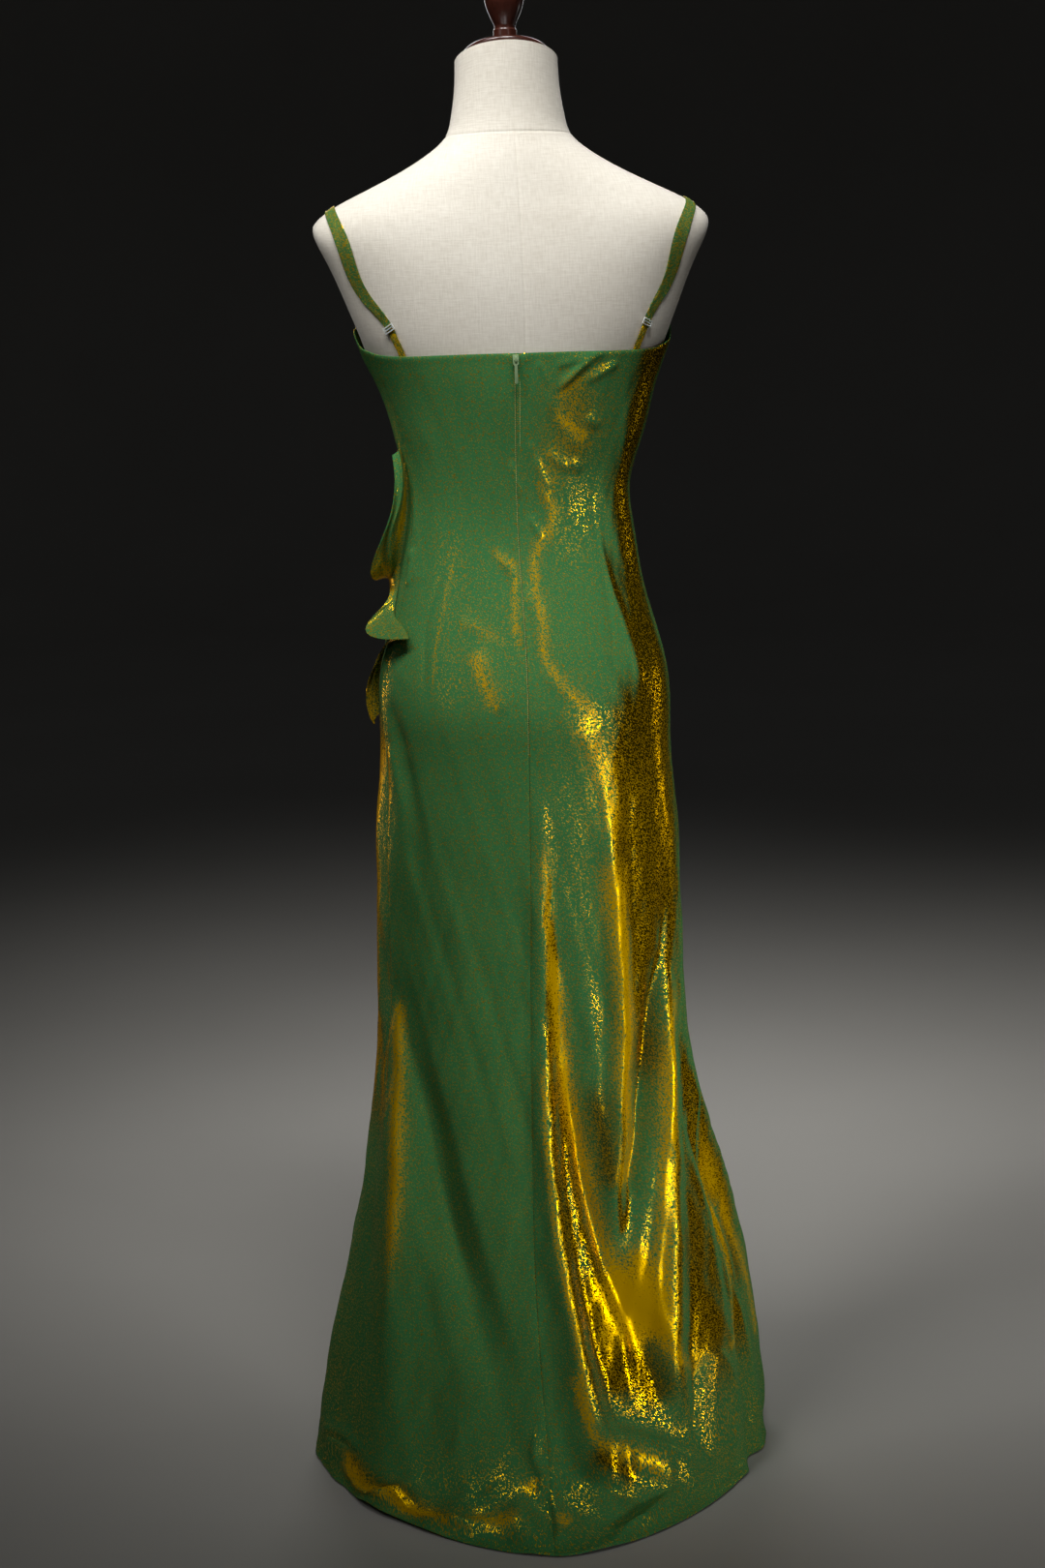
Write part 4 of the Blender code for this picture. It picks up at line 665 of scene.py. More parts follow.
def base_point(angle: Array, drop: Array) -> Array:
    """Middle of the cloth before folds.

    Args:
        angle: Meridian angles in degrees.
        drop: Drops.

    Returns:
        Points of three coordinates.
    """
    along = np.cos(np.radians(angle))
    across = np.sin(np.radians(angle))
    cut = FORM.read("cut", DATUM - np.clip(drop, 0.0, HIP_DROP)) + ARM_ROOM
    cut = cut + smooth_step(*ARM_END, drop) * cut
    radius = ring_radius(angle, GOWN.read("left", drop), GOWN.read("right", drop),
                         GOWN.read("back", drop), GOWN.read("front", drop),
                         GOWN.read("power", drop), cut)
    side = GOWN.read("high_side", drop)
    end = np.where(along > 0.0, GOWN.read("high_back", drop), GOWN.read("high_front", drop))
    z = side + (end - side) * along ** 2
    x = radius * across
    return np.stack([x, radius * along - bust(x, z, -along), z], axis=-1)


def surface_normal(point: Callable[[Array, Array], Array], angle: Array, drop: Array,
                   turn: float, fall: float) -> Array:
    """Outward unit normal of a shape of angle and drop.

    Args:
        point: The shape.
        angle: Meridian angles in degrees.
        drop: Drops.
        turn: Step in degrees.
        fall: Step in drop.

    Returns:
        Unit vectors.
    """
    low = np.clip(drop - fall, 0.0, HEM_DROP)
    high = np.clip(drop + fall, 0.0, HEM_DROP)
    round_way = point(angle + turn, drop) - point(angle - turn, drop)
    down_way = point(angle, high) - point(angle, low)
    return unit(np.cross(round_way, down_way))


def metres_per_degree(drop: Array) -> Array:
    """Cloth passed for one degree of angle, on the whole, at each drop."""
    half = 0.5 * (GOWN.read("left", drop) + GOWN.read("right", drop))
    return np.radians(0.5 * (half + GOWN.read("back", drop)))


def relief(angle: Array, drop: Array) -> Array:
    """Sum of the broad folds, the creases and the slow waves.

    Args:
        angle: Meridian angles in degrees.
        drop: Drops.

    Returns:
        Distances out along the base normal.
    """
    total = np.zeros(angle.shape)
    for fold in FOLDS:
        total += fold.lift(angle, drop)
    girth = metres_per_degree(drop)
    for crease in CREASES:
        crease.add(total, angle, drop, girth)
    loose = 0.45 + 0.9 * smooth_step(0.40, 0.75, drop)
    across = turn_between(angle, 0.0) * metres_per_degree(np.full(drop.shape, 0.5))
    ends = smooth_step(0.0, 25.0, 180.0 - np.abs(turn_between(angle, 0.0)))
    for wave in WAVES:
        turn = across / (wave.across * MM) + drop / (wave.down * MM) + wave.phase
        total += wave.height * MM * loose * ends * np.sin(2.0 * np.pi * turn)
    return total


def folded_middle(angle: Array, drop: Array) -> Array:
    """Middle of the cloth with its folds, kept on the floor."""
    lift = relief(angle, drop)[..., None]
    middle = base_point(angle, drop) + surface_normal(base_point, angle, drop, 0.2, 0.001) * lift
    for crumple in CRUMPLES:
        middle[..., 2] += crumple.lift(angle, drop)
    middle[..., 2] = soft_floor(middle[..., 2], CLOTH / 2, 2.0 * MM)
    return middle


def gown_point(angle: Any, drop: Any, out: Any = 0.0) -> Array:
    """Point of the gown at a distance out from its middle.

    Args:
        angle: Meridian angles in degrees.
        drop: Drops.
        out: Distance out from the middle of the wall.

    Returns:
        Points of three coordinates.
    """
    angle, drop = np.broadcast_arrays(np.asarray(angle, float), np.asarray(drop, float))
    angle, drop = angle.copy(), drop.copy()
    normal = surface_normal(folded_middle, angle, drop, 0.25, 0.0015)
    point = folded_middle(angle, drop) + normal * np.asarray(out)[..., None]
    point[..., 2] = np.maximum(point[..., 2], CLOTH / 2 + out)
    return point


def drop_at(angle: Array, level: Array) -> Array:
    """Drop of a level at a meridian angle: the levels follow the neckline at the top."""
    neck = DATUM - NECK.read("height", np.abs(turn_between(angle, 0.0)))
    fade = np.clip(1.0 - (level - NECK_START) / NECK_FADE, 0.0, 1.0) ** 1.5
    return level + (neck - NECK_START) * fade


LEFT_SEAM = 76.0          # angles of the side seams, the same at every level
RIGHT_SEAM = -82.0


class Seam(Enum):
    """Seams that bound the cut panels."""

    CENTRE_BACK = "centre back"
    SIDE_LEFT = "side, the wearer's left"
    SIDE_RIGHT = "side, the wearer's right"
    SIDE_RIGHT_FROM_FRONT = "side, the wearer's right, reached round the front"

    def angle(self, level: Array) -> Array:
        """Meridian angle of the seam at each level."""
        if self is Seam.CENTRE_BACK:
            return CENTRE.read("angle", level)
        turn = {Seam.SIDE_LEFT: LEFT_SEAM, Seam.SIDE_RIGHT: RIGHT_SEAM}.get(
            self, RIGHT_SEAM + 360.0)
        return np.full(np.shape(level), turn)


# ---------------------------------------------------------------- node trees

def linear(code: str) -> tuple[float, float, float, float]:
    """Linear colour of an sRGB hex code.

    Args:
        code: Six hex digits after a hash.

    Returns:
        Red, green, blue and full opacity.
    """
    parts = [int(code[i:i + 2], 16) / 255.0 for i in (1, 3, 5)]
    light = [c / 12.92 if c <= 0.04045 else ((c + 0.055) / 1.055) ** 2.4 for c in parts]
    return (light[0], light[1], light[2], 1.0)


NodeTree = bpy.types.NodeTree
Socket = bpy.types.NodeSocket


def plug(tree: NodeTree, node: bpy.types.Node, links: dict[Any, Any]) -> None:
    """Fills inputs, by name or number, from sockets or plain values."""
    for key, value in links.items():
        if isinstance(value, Socket):
            tree.links.new(value, node.inputs[key])
        else:
            node.inputs[key].default_value = value


def add_node(tree: NodeTree, kind: str, links: dict[Any, Any] | None = None,
             **settings: Any) -> bpy.types.Node:
    """Adds a node with its settings and links.

    Args:
        tree: Tree to add to.
        kind: Node type.
        links: Sockets to link from, or plain values, by input name or number.
        settings: Attributes of the node.

    Returns:
        The node.
    """
    node = tree.nodes.new(kind)
    for name, value in settings.items():
        setattr(node, name, value)
    plug(tree, node, links or {})
    return node


def calc(tree: NodeTree, operation: str, *values: Any) -> Socket:
    """Result of one step of arithmetic on sockets and numbers."""
    return add_node(tree, "ShaderNodeMath", dict(enumerate(values)),
                    operation=operation).outputs[0]


def mixed(tree: NodeTree, factor: Socket, low: Any, high: Any) -> Socket:
    """Blend of two colours, each a socket or a hex code."""
    ends = {key: linear(end) if isinstance(end, str) else end
            for key, end in (("A", low), ("B", high))}
    # a mix node's sockets share their names: its third output is the colour
    return add_node(tree, "ShaderNodeMix", {"Factor": factor, **ends},
                    data_type="RGBA").outputs[2]


def remapped(tree: NodeTree, value: Socket, span: dict[str, float], **settings: Any) -> Socket:
    """Value moved from one span to another, with the ends that differ from 0 and 1."""
    return add_node(tree, "ShaderNodeMapRange", {"Value": value, **span},
                    **settings).outputs["Result"]


def noise(tree: NodeTree, place: Socket, scale: float, detail: float,
          more: dict[str, float] | None = None, **settings: Any) -> Socket:
    """Smooth noise from 0 to 1."""
    return add_node(tree, "ShaderNodeTexNoise", {
        "Vector": place, "Scale": scale, "Detail": detail, **(more or {})},
        **settings).outputs["Fac"]


def mapped(tree: NodeTree, place: Socket, **values: tuple[float, ...]) -> Socket:
    """Place moved, turned and scaled."""
    links = {name.capitalize(): value for name, value in values.items()}
    return add_node(tree, "ShaderNodeMapping", {"Vector": place, **links}).outputs["Vector"]


def bumped(tree: NodeTree, height: Socket, strength: float, distance: float) -> Socket:
    """Normal of a fine relief."""
    return add_node(tree, "ShaderNodeBump", {
        "Strength": strength, "Distance": distance, "Height": height}).outputs["Normal"]


def cloth_place(tree: NodeTree) -> Socket:
    """Place on the flat cloth, in metres."""
    return add_node(tree, "ShaderNodeUVMap", uv_map="weave").outputs["UV"]


def object_place(tree: NodeTree) -> Socket:
    """Place in the object's own space, in metres."""
    return add_node(tree, "ShaderNodeTexCoord").outputs["Object"]


@dataclass(frozen=True)
class Finish:
    """A named material; each kind paints its own shader."""

    name: str

    def material(self) -> bpy.types.Material:
        """The material, made the first time it is asked for."""
        found = bpy.data.materials.get(self.name)
        if found:
            return found
        made = bpy.data.materials.new(self.name)
        made.use_nodes = True
        self.paint(made.node_tree, made.node_tree.nodes["Principled BSDF"])
        return made

    def paint(self, tree: NodeTree, shader: bpy.types.Node) -> None:
        """Adds this finish's nodes and values; each kind has its own."""
        raise NotImplementedError

    def dress(self, made: bpy.types.Object) -> bpy.types.Object:
        """Puts the material alone on an object and returns it."""
        made.data.materials.clear()
        made.data.materials.append(self.material())
        return made


@dataclass(frozen=True)
class ShotCloth(Finish):
    """Changeable weave: green yarns one way and metallic gold yarns across them.

    Both yarns lie at 45 degrees to the panel. The gold ones show as a fine sparkle that flares
    where the cloth faces a lamp. The attribute turned says how far a place is turned to the right
    of a viewer behind or in front of the gown; there the green is painted down to brown, painted
    shade together with the weave's colour at that angle. The other attribute is painted highlight:
    more gold, less metallic, laid on top.
    """

    green: str = "#498a4e"
    deep: str = "#397343"
    # colour of the painted shade on turned flanks
    brown: str = "#2e2600"
    gold: str = "#ecb900"
    share: float = 0.03
    turned_share: float = 0.36
    # share of gold yarns where the painted highlight is full
    painted_highlight_share: float = 0.46
    # Sizes in millimetres. Real yarns are finer: these are drawn wide so that the weave shows.
    yarn: float = 0.9
    crossing: float = 1.3
    float_length: float = 3.2
    metal: float = 0.78
    # metallic where the painted highlight is full
    soft_metal: float = 0.35
    gloss: float = 0.21
    dull: float = 0.60
    relief: float = 0.10
    # The level that the gold's mask is cut from: its middle, its span and the cut's softness.
    level_middle: float = 0.75
    level_span: float = 0.51
    level_soft: float = 0.06

    def paint(self, tree: NodeTree, shader: bpy.types.Node) -> None:
        """Adds the yarns' mask, colours, gloss and relief."""
        place = cloth_place(tree)
        turned, gleam = (add_node(tree, "ShaderNodeAttribute", attribute_name=name,
                                  attribute_type="GEOMETRY").outputs["Fac"]
                         for name in ("turned", "gleam"))
        level = calc(tree, "MULTIPLY_ADD", self.crossings(tree, place), 0.5,
                     self.yarns(tree, place, 45.0, 0.0))
        # painted shade and painted highlight both raise the share of gold yarns in the mask
        for amount, share in ((turned, self.turned_share), (gleam, self.painted_highlight_share)):
            level = calc(tree, "MULTIPLY_ADD", amount, self.level_span * (share - self.share),
                         level)
        middle = self.level_middle + self.level_span * (0.5 - self.share)
        mask = remapped(tree, level, {"From Min": middle - self.level_soft,
                                      "From Max": middle + self.level_soft},
                        interpolation_type="SMOOTHSTEP")
        tone = mixed(tree, self.yarns(tree, place, -45.0, 7.3), self.deep, self.green)
        # painted shade: the green is painted down to brown on turned flanks
        painted_shade_tone = mixed(tree, turned, tone, self.brown)
        # painted highlight: the painted gold is less metallic, so it stays bright without a lamp to
        # reflect
        bare = remapped(tree, gleam, {"To Min": self.metal, "To Max": self.soft_metal})
        plug(tree, shader, {
            "Base Color": mixed(tree, mask, painted_shade_tone, self.gold),
            "Metallic": calc(tree, "MULTIPLY", mask, bare),
            "Roughness": remapped(tree, mask, {"To Min": self.dull, "To Max": self.gloss}),
            "Normal": bumped(tree, level, self.relief, 0.5 * MM),
            "Specular Tint": linear(self.gold), "IOR": 1.1, "Specular IOR Level": 0.1})

    def crossings(self, tree: NodeTree, place: Socket) -> Socket:
        """One random value from 0 to 1 for each small patch where the yarns cross."""
        turned = mapped(tree, place, rotation=(0.0, 0.0, math.radians(45.0)))
        cells = mapped(tree, turned,
                       scale=(1.0 / (self.crossing * MM), 1.0 / (self.yarn * MM), 1.0))
        whole = add_node(tree, "ShaderNodeVectorMath", {0: cells}, operation="FLOOR")
        return add_node(tree, "ShaderNodeTexWhiteNoise", {"Vector": whole.outputs["Vector"]},
                        noise_dimensions="2D").outputs["Value"]

    def yarns(self, tree: NodeTree, place: Socket, turn: float, shift: float) -> Socket:
        """Streaky noise along one set of yarns.

        Args:
            tree: Tree to add to.
            place: Place on the cloth in metres.
            turn: Direction of the yarns in degrees.
            shift: Offset, so that two sets differ.

        Returns:
            Values from 0 to 1.
        """
        turned = mapped(tree, place, location=(shift, shift, 0.0),
                        rotation=(0.0, 0.0, math.radians(turn)))
        flat = mapped(tree, turned,
                      scale=(1.0 / (self.float_length * MM), 1.0 / (self.yarn * MM), 1.0))
        return noise(tree, flat, 1.0, 1.0, {"Roughness": 0.5}, noise_dimensions="2D")

    def dress(self, made: bpy.types.Object, shown: float = 1.0, brown: Any = 0.0,
              gleam: Any = 0.0) -> bpy.types.Object:
        """Puts the material on a piece, with how far each flank is turned.

        Args:
            made: Piece to dress.
            shown: Share of the turn, painted as shade, that the piece shows.
            brown: Painted shade added by the folds, for each vertex.
            gleam: Painted gold highlight added on them, for each vertex.

        Returns:
            The same piece.
        """
        normals = np.zeros(3 * len(made.data.vertices))
        made.data.vertices.foreach_get("normal", normals)
        across, back, _ = normals.reshape(-1, 3).T
        bearing = np.degrees(np.arctan2(across, back))
        turned = np.zeros(len(bearing))
        height = np.array([vertex.co.z for vertex in made.data.vertices])
        # painted shade: the green is painted down to brown on flanks turned to the right of a
        # viewer behind or in front, standing in for shade and for the weave's colour at that angle.
        # These are the bearings to the right of a viewer between which a flank is turned: closer to
        # the middle low in the skirt
        first = 18.0 + 12.0 * smooth_step(0.75, 0.95, height)
        last = 68.0 + 20.0 * smooth_step(0.45, 0.75, height)
        for viewer in (0.0, 180.0):
            right = -turn_between(bearing, viewer)
            turned += smooth_step(first, first + 16.0, right) * (
                1.0 - smooth_step(last - 26.0, last, right))
        # less painted shade on the cloth that lies low, near the floor
        turned *= 0.15 + 0.85 * smooth_step(0.07, 0.17, height)
        # painted highlight: the wearer's left side, seen edge-on from behind, is painted brown and
        # gold as a grazing glint part way down the skirt
        left_edge_highlight = smooth_step(68.0, 80.0, bearing) * (1.0 - smooth_step(98.0, 110.0, bearing))
        left_edge_highlight *= smooth_step(0.34, 0.46, height) * (1.0 - smooth_step(0.78, 0.86, height))
        turned = np.maximum(turned, left_edge_highlight) * smooth_step(0.25, 0.65, np.hypot(across, back))
        turned = np.maximum(shown * turned, brown)
        # painted highlight: more painted gold on the left edge, less on turned flanks high up
        gleam = gleam + 0.7 * left_edge_highlight - 0.6 * turned * smooth_step(0.72, 0.90, height)
        for name, values in (("turned", turned), ("gleam", gleam)):
            layer = made.data.attributes.new(name, "FLOAT", "POINT")
            spread = np.broadcast_to(values, turned.shape).astype(np.float32)
            layer.data.foreach_set("value", spread)
        return super().dress(made)


@dataclass(frozen=True)
class Linen(Finish):
    """Off-white plain-woven linen, stretched over the form: matt, with slubs and fine threads."""

    pale: str = "#e3ddd0"
    shade: str = "#cfc7b8"
    # Millimetres. Real threads lie closer: these are drawn wide so that they show.
    thread: float = 1.6

    def paint(self, tree: NodeTree, shader: bpy.types.Node) -> None:
        """Adds threads both ways, slubs and a faint uneven tone."""
        place = cloth_place(tree)
        threads = [
            noise(tree, mapped(tree, place, location=(shift, shift, 0.0),
                               scale=tuple(s / (self.thread * MM) for s in scale)),
                  1.0, 2.0, noise_dimensions="2D")
            for scale, shift in (((0.12, 1.0, 1.0), 0.0), ((1.0, 0.12, 1.0), 5.0))]
        weave = calc(tree, "ADD", *threads)
        tone = calc(tree, "MULTIPLY_ADD", weave, 0.6, noise(tree, place, 6.0, 3.0))
        fade = remapped(tree, tone, {"From Min": 0.75, "From Max": 1.4})
        plug(tree, shader, {
            "Base Color": mixed(tree, fade, self.shade, self.pale),
            "Normal": bumped(tree, weave, 0.35, 0.4 * MM), "Roughness": 0.85,
            "Specular IOR Level": 0.25, "Sheen Weight": 0.15, "Sheen Roughness": 0.6})


@dataclass(frozen=True)
class VarnishedWood(Finish):
    """Dark stained beech, turned and varnished: reddish brown grain under a gloss coat."""

    dark: str = "#1d0d08"
    warm: str = "#4a2015"
    grain: float = 2.2

    def paint(self, tree: NodeTree, shader: bpy.types.Node) -> None:
        """Adds grain along the turning axis and the varnish."""
        fine = 1.0 / (self.grain * MM)
        long = mapped(tree, object_place(tree), scale=(fine, fine, 0.12 / (self.grain * MM)))
        grain = noise(tree, long, 1.0, 4.0, {"Distortion": 0.6})
        plug(tree, shader, {
            "Base Color": mixed(tree, grain, self.dark, self.warm),
            "Roughness": remapped(tree, grain, {"To Min": 0.22, "To Max": 0.40}),
            "Coat Weight": 0.6, "Coat Roughness": 0.12})


@dataclass(frozen=True)
class ClearPlastic(Finish):
    """Moulded clear polycarbonate: see-through with a soft bright edge and fine scuffs."""

    tint: str = "#eef3f0"

    def paint(self, tree: NodeTree, shader: bpy.types.Node) -> None:
        """Adds transmission with faint scuffs."""
        scuff = noise(tree, object_place(tree), 900.0, 3.0)
        plug(tree, shader, {
            "Roughness": remapped(tree, scuff, {"To Min": 0.08, "To Max": 0.28}),
            "Base Color": linear(self.tint), "Transmission Weight": 0.35, "IOR": 1.58})


@dataclass(frozen=True)
class Lacquer(Finish):
    """Sprayed lacquer over zinc: satin colour with fine orange peel and rubbed tone."""

    base: str = "#8fb47a"
    worn: str = "#b9cfa4"
    metal: float = 0.35
    rough: float = 0.30

    def paint(self, tree: NodeTree, shader: bpy.types.Node) -> None:
        """Adds the tone and the orange peel."""
        place = object_place(tree)
        blotch = noise(tree, place, 420.0, 3.0)
        plug(tree, shader, {
            "Base Color": mixed(tree, blotch, self.base, self.worn),
            "Roughness": remapped(tree, blotch, {"To Min": self.rough - 0.06,
                                                 "To Max": self.rough + 0.08}),
            "Normal": bumped(tree, noise(tree, place, 1500.0, 1.0), 0.15, 0.05 * MM),
            "Metallic": self.metal})


@dataclass(frozen=True)
class WovenTape(Finish):
    """Matt polyester tape with a fine rib across it."""

    light: str = "#3d6b38"
    dark: str = "#264a26"
    rib: float = 0.8

    def paint(self, tree: NodeTree, shader: bpy.types.Node) -> None:
        """Adds the rib's tone and relief."""
        rib = add_node(tree, "ShaderNodeTexWave", {
            "Vector": object_place(tree), "Scale": 0.314 / (self.rib * MM) / 2.0,
            "Distortion": 0.4, "Detail": 1.0}, bands_direction="Z").outputs["Fac"]
        plug(tree, shader, {
            "Base Color": mixed(tree, rib, self.dark, self.light),
            "Normal": bumped(tree, rib, 0.4, 0.2 * MM), "Roughness": 0.75})


@dataclass(frozen=True)
class Thread(Finish):
    """Spun polyester sewing thread with a soft lustre and a fine twist."""

    light: str = "#5f8f45"
    dark: str = "#33602f"

    def paint(self, tree: NodeTree, shader: bpy.types.Node) -> None:
        """Adds the twist's tone."""
        twist = noise(tree, object_place(tree), 1800.0, 1.0)
        plug(tree, shader, {"Base Color": mixed(tree, twist, self.dark, self.light),
                            "Roughness": 0.5})


@dataclass(frozen=True)
class PaintedFloor(Finish):
    """Pale matt studio paint with a faint roller texture."""

    pale: str = "#bdbab4"
    shade: str = "#b1aea8"

    def paint(self, tree: NodeTree, shader: bpy.types.Node) -> None:
        """Adds a faint uneven tone."""
        cloud = noise(tree, object_place(tree), 1.3, 4.0)
        plug(tree, shader, {"Base Color": mixed(tree, cloud, self.pale, self.shade),
                            "Roughness": 0.9, "Specular IOR Level": 0.1})


SHOT = ShotCloth("shot_polyester_bias_weave")
LINEN = Linen("plain_linen_cover")
WOOD = VarnishedWood("varnished_beech")
CLEAR = ClearPlastic("clear_polycarbonate")
ZIP_PAINT = Lacquer("lacquered_zinc")
STAND_PAINT = Lacquer("black_powder_coated_steel", base="#1c1a18", worn="#2b2826",
                      metal=0.0, rough=0.42)
TAPE = WovenTape("woven_zip_tape")
COIL = Lacquer("moulded_nylon_coil", base="#34592f", worn="#4a7340", metal=0.0, rough=0.38)
THREAD = Thread("spun_polyester_thread")
PALE_THREAD = Thread("pale_gold_thread", light="#d8d488", dark="#a2a85c")
FLOOR_PAINT = PaintedFloor("pale_studio_paint")


# ---------------------------------------------------------------- meshes

def link_object(name: str, mesh: bpy.types.Mesh) -> bpy.types.Object:
    """Links a mesh as an object at the origin."""
    made = bpy.data.objects.new(name, mesh)
    bpy.context.scene.collection.objects.link(made)
    return made


@contextmanager
def edited(mesh: bpy.types.Mesh) -> Iterator[bmesh.types.BMesh]:
    """Opens a mesh for editing and writes it back at the end."""
    work = bmesh.new()
    work.from_mesh(mesh)
    yield work
    work.to_mesh(mesh)
    work.free()


def ring_mesh(name: str, points: Array) -> bpy.types.Mesh:
    """Mesh of quads through closed rings of points, open at both ends.

    Args:
        name: Name of the mesh.
        points: A row of points for each ring.

    Returns:
        The mesh.
    """
    rows, columns = points.shape[:2]
    i, j = np.meshgrid(np.arange(rows - 1), np.arange(columns), indexing="ij")
    k = (j + 1) % columns
    faces = np.stack([i * columns + j, (i + 1) * columns + j, (i + 1) * columns + k,
                      i * columns + k], axis=-1).reshape(-1, 4)
    mesh = bpy.data.meshes.new(name)
    mesh.from_pydata(points.reshape(-1, 3).tolist(), [], faces.tolist())
    return mesh


def lay_uv(mesh: bpy.types.Mesh, place: Array) -> None:
    """Writes a UV map named weave from one place for each vertex."""
    corners = np.zeros(len(mesh.loops), int)
    mesh.loops.foreach_get("vertex_index", corners)
    layer = mesh.uv_layers.new(name="weave")
    layer.data.foreach_set("uv", place[corners].astype(np.float32).ravel())


def grid_uv(points: Array) -> Array:
    """Place of each grid point on the flat cloth, in metres: across the row, down the middle."""
    across = np.linalg.norm(np.diff(points, axis=1), axis=-1)
    across = np.concatenate([np.zeros((len(points), 1)), np.cumsum(across, axis=1)], axis=1)
    across = across - across.mean(axis=1, keepdims=True)
    middle = points.shape[1] // 2
    down = np.linalg.norm(np.diff(points[:, middle], axis=0), axis=-1)
    down = np.concatenate([[0.0], np.cumsum(down)])[:, None] + np.zeros(points.shape[:2])
    return np.stack([across, down], axis=-1).reshape(-1, 2)


def wall_mesh(name: str, outer: Array, inner: Array) -> bpy.types.Mesh:
    """Closed wall between two grids of points that face each other.

    Args:
        name: Name of the mesh.
        outer: Rows and columns of points of the outer face.
        inner: The same for the inner face.

    Returns:
        The mesh, its faces turned out, with its UV map.
    """
    rows, columns = outer.shape[:2]
    count = rows * columns
    i, j = np.meshgrid(np.arange(rows - 1), np.arange(columns - 1), indexing="ij")
    a = i * columns + j
    quads = np.stack([a, a + columns, a + columns + 1, a + 1], axis=-1).reshape(-1, 4)
    faces = np.concatenate([quads, quads[:, ::-1] + count]).tolist()
    rim = [r * columns for r in range(rows)]
    rim += [(rows - 1) * columns + c for c in range(1, columns)]
    rim += [r * columns + columns - 1 for r in range(rows - 2, -1, -1)]
    rim += list(range(columns - 2, 0, -1))
    faces += [(p, p + count, q + count, q) for p, q in zip(rim, rim[1:] + rim[:1])]
    points = np.concatenate([outer.reshape(-1, 3), inner.reshape(-1, 3)])
    mesh = bpy.data.meshes.new(name)
    mesh.from_pydata(points.tolist(), [], faces)
    turn_out(mesh)
    uv = grid_uv(outer)
    lay_uv(mesh, np.concatenate([uv, uv]))
    return mesh


def turn_out(mesh: bpy.types.Mesh) -> None:
    """Turns the faces of a closed mesh to point outwards."""
    with edited(mesh) as work:
        bmesh.ops.recalc_face_normals(work, faces=work.faces)
        if work.calc_volume(signed=True) < 0.0:
            bmesh.ops.reverse_faces(work, faces=work.faces)


def smooth(mesh: bpy.types.Mesh, angle: float = 50.0) -> bpy.types.Mesh:
    """Shades a mesh smooth, with edges sharper than an angle kept, and returns it."""
    mesh.shade_smooth()
    mesh.set_sharp_from_angle(angle=math.radians(angle))
    return mesh


def chain_mesh(name: str, paths: Sequence[Array], closed: bool = False) -> bpy.types.Mesh:
    """Mesh of loose edges along paths, for a node tree to follow.

    Args:
        name: Name of the mesh.
        paths: One array of points for each path.
        closed: Whether each path joins its own start.

    Returns:
        The mesh.
    """
    points: list[list[float]] = []
    edges: list[tuple[int, int]] = []
    for path in paths:
        start = len(points)
        points += np.asarray(path).tolist()
        last = len(points) - 1
        edges += [(i, i + 1) for i in range(start, last)]
        if closed:
            edges.append((last, start))
    mesh = bpy.data.meshes.new(name)
    mesh.from_pydata(points, edges, [])
    return mesh


class Tree:
    """A Geometry Nodes tree built in code, with named inputs."""

    def __init__(self, name: str) -> None:
        """Starts a tree with a geometry input and output."""
        self.tree = bpy.data.node_groups.new(name, "GeometryNodeTree")
        self.socket("Geometry", "NodeSocketGeometry")
        self.tree.interface.new_socket("Geometry", in_out="OUTPUT",
                                       socket_type="NodeSocketGeometry")
        self.start = add_node(self.tree, "NodeGroupInput")

    def socket(self, name: str, kind: str, value: Any = None) -> None:
        """Adds a named input with a default value."""
        made = self.tree.interface.new_socket(name, in_out="INPUT", socket_type=kind)
        if value is not None:
            made.default_value = value

    def lay_along(self, thing: Socket, more: dict[str, Any] | None = None) -> None:
        """Ends the tree with a thing laid at the input pitch along the paths, Z on the path."""
        tree, start = self.tree, self.start.outputs
        line = add_node(tree, "GeometryNodeMeshToCurve", {"Mesh": start["Geometry"]})
        even = add_node(tree, "GeometryNodeResampleCurve", {
            "Curve": line.outputs["Curve"], "Length": start["Pitch"]}, mode="LENGTH")
        way = add_node(tree, "GeometryNodeInputTangent")
        turn = add_node(tree, "FunctionNodeAlignRotationToVector",
                        {"Vector": way.outputs["Tangent"]}, axis="Z")
        laid = add_node(tree, "GeometryNodeInstanceOnPoints", {
            "Points": even.outputs["Curve"], "Instance": thing,
            "Rotation": turn.outputs["Rotation"], **(more or {})})
        self.finish(laid.outputs["Instances"])

    def finish(self, geometry: Socket) -> None:
        """Ends the tree with realised, smooth geometry in the material input."""
        real = add_node(self.tree, "GeometryNodeRealizeInstances", {"Geometry": geometry})
        shaded = add_node(self.tree, "GeometryNodeSetShadeSmooth",
                          {"Geometry": real.outputs["Geometry"]})
        coated = add_node(self.tree, "GeometryNodeSetMaterial", {
            "Geometry": shaded.outputs["Geometry"],
            "Material": self.start.outputs["Material"]})
        add_node(self.tree, "NodeGroupOutput", {"Geometry": coated.outputs["Geometry"]})

    def apply(self, name: str, mesh: bpy.types.Mesh, values: dict[str, Any]) -> bpy.types.Object:
        """Runs the tree on a mesh.

        Args:
            name: Name of the finished object.
            mesh: What the tree follows.
            values: Values of the named inputs.

        Returns:
            An object with a plain mesh.
        """
        source = link_object(name + "_path", mesh)
        change = source.modifiers.new("make", "NODES")
        change.node_group = self.tree
        for item in self.tree.interface.items_tree:
            if item.in_out == "INPUT" and item.name in values:
                change[item.identifier] = values[item.name]
        graph = bpy.context.evaluated_depsgraph_get()
        plain = bpy.data.meshes.new_from_object(source.evaluated_get(graph), depsgraph=graph)
        source.modifiers.remove(change)
        bpy.data.objects.remove(source, do_unlink=True)
        plain.name = name
        return link_object(name, plain)


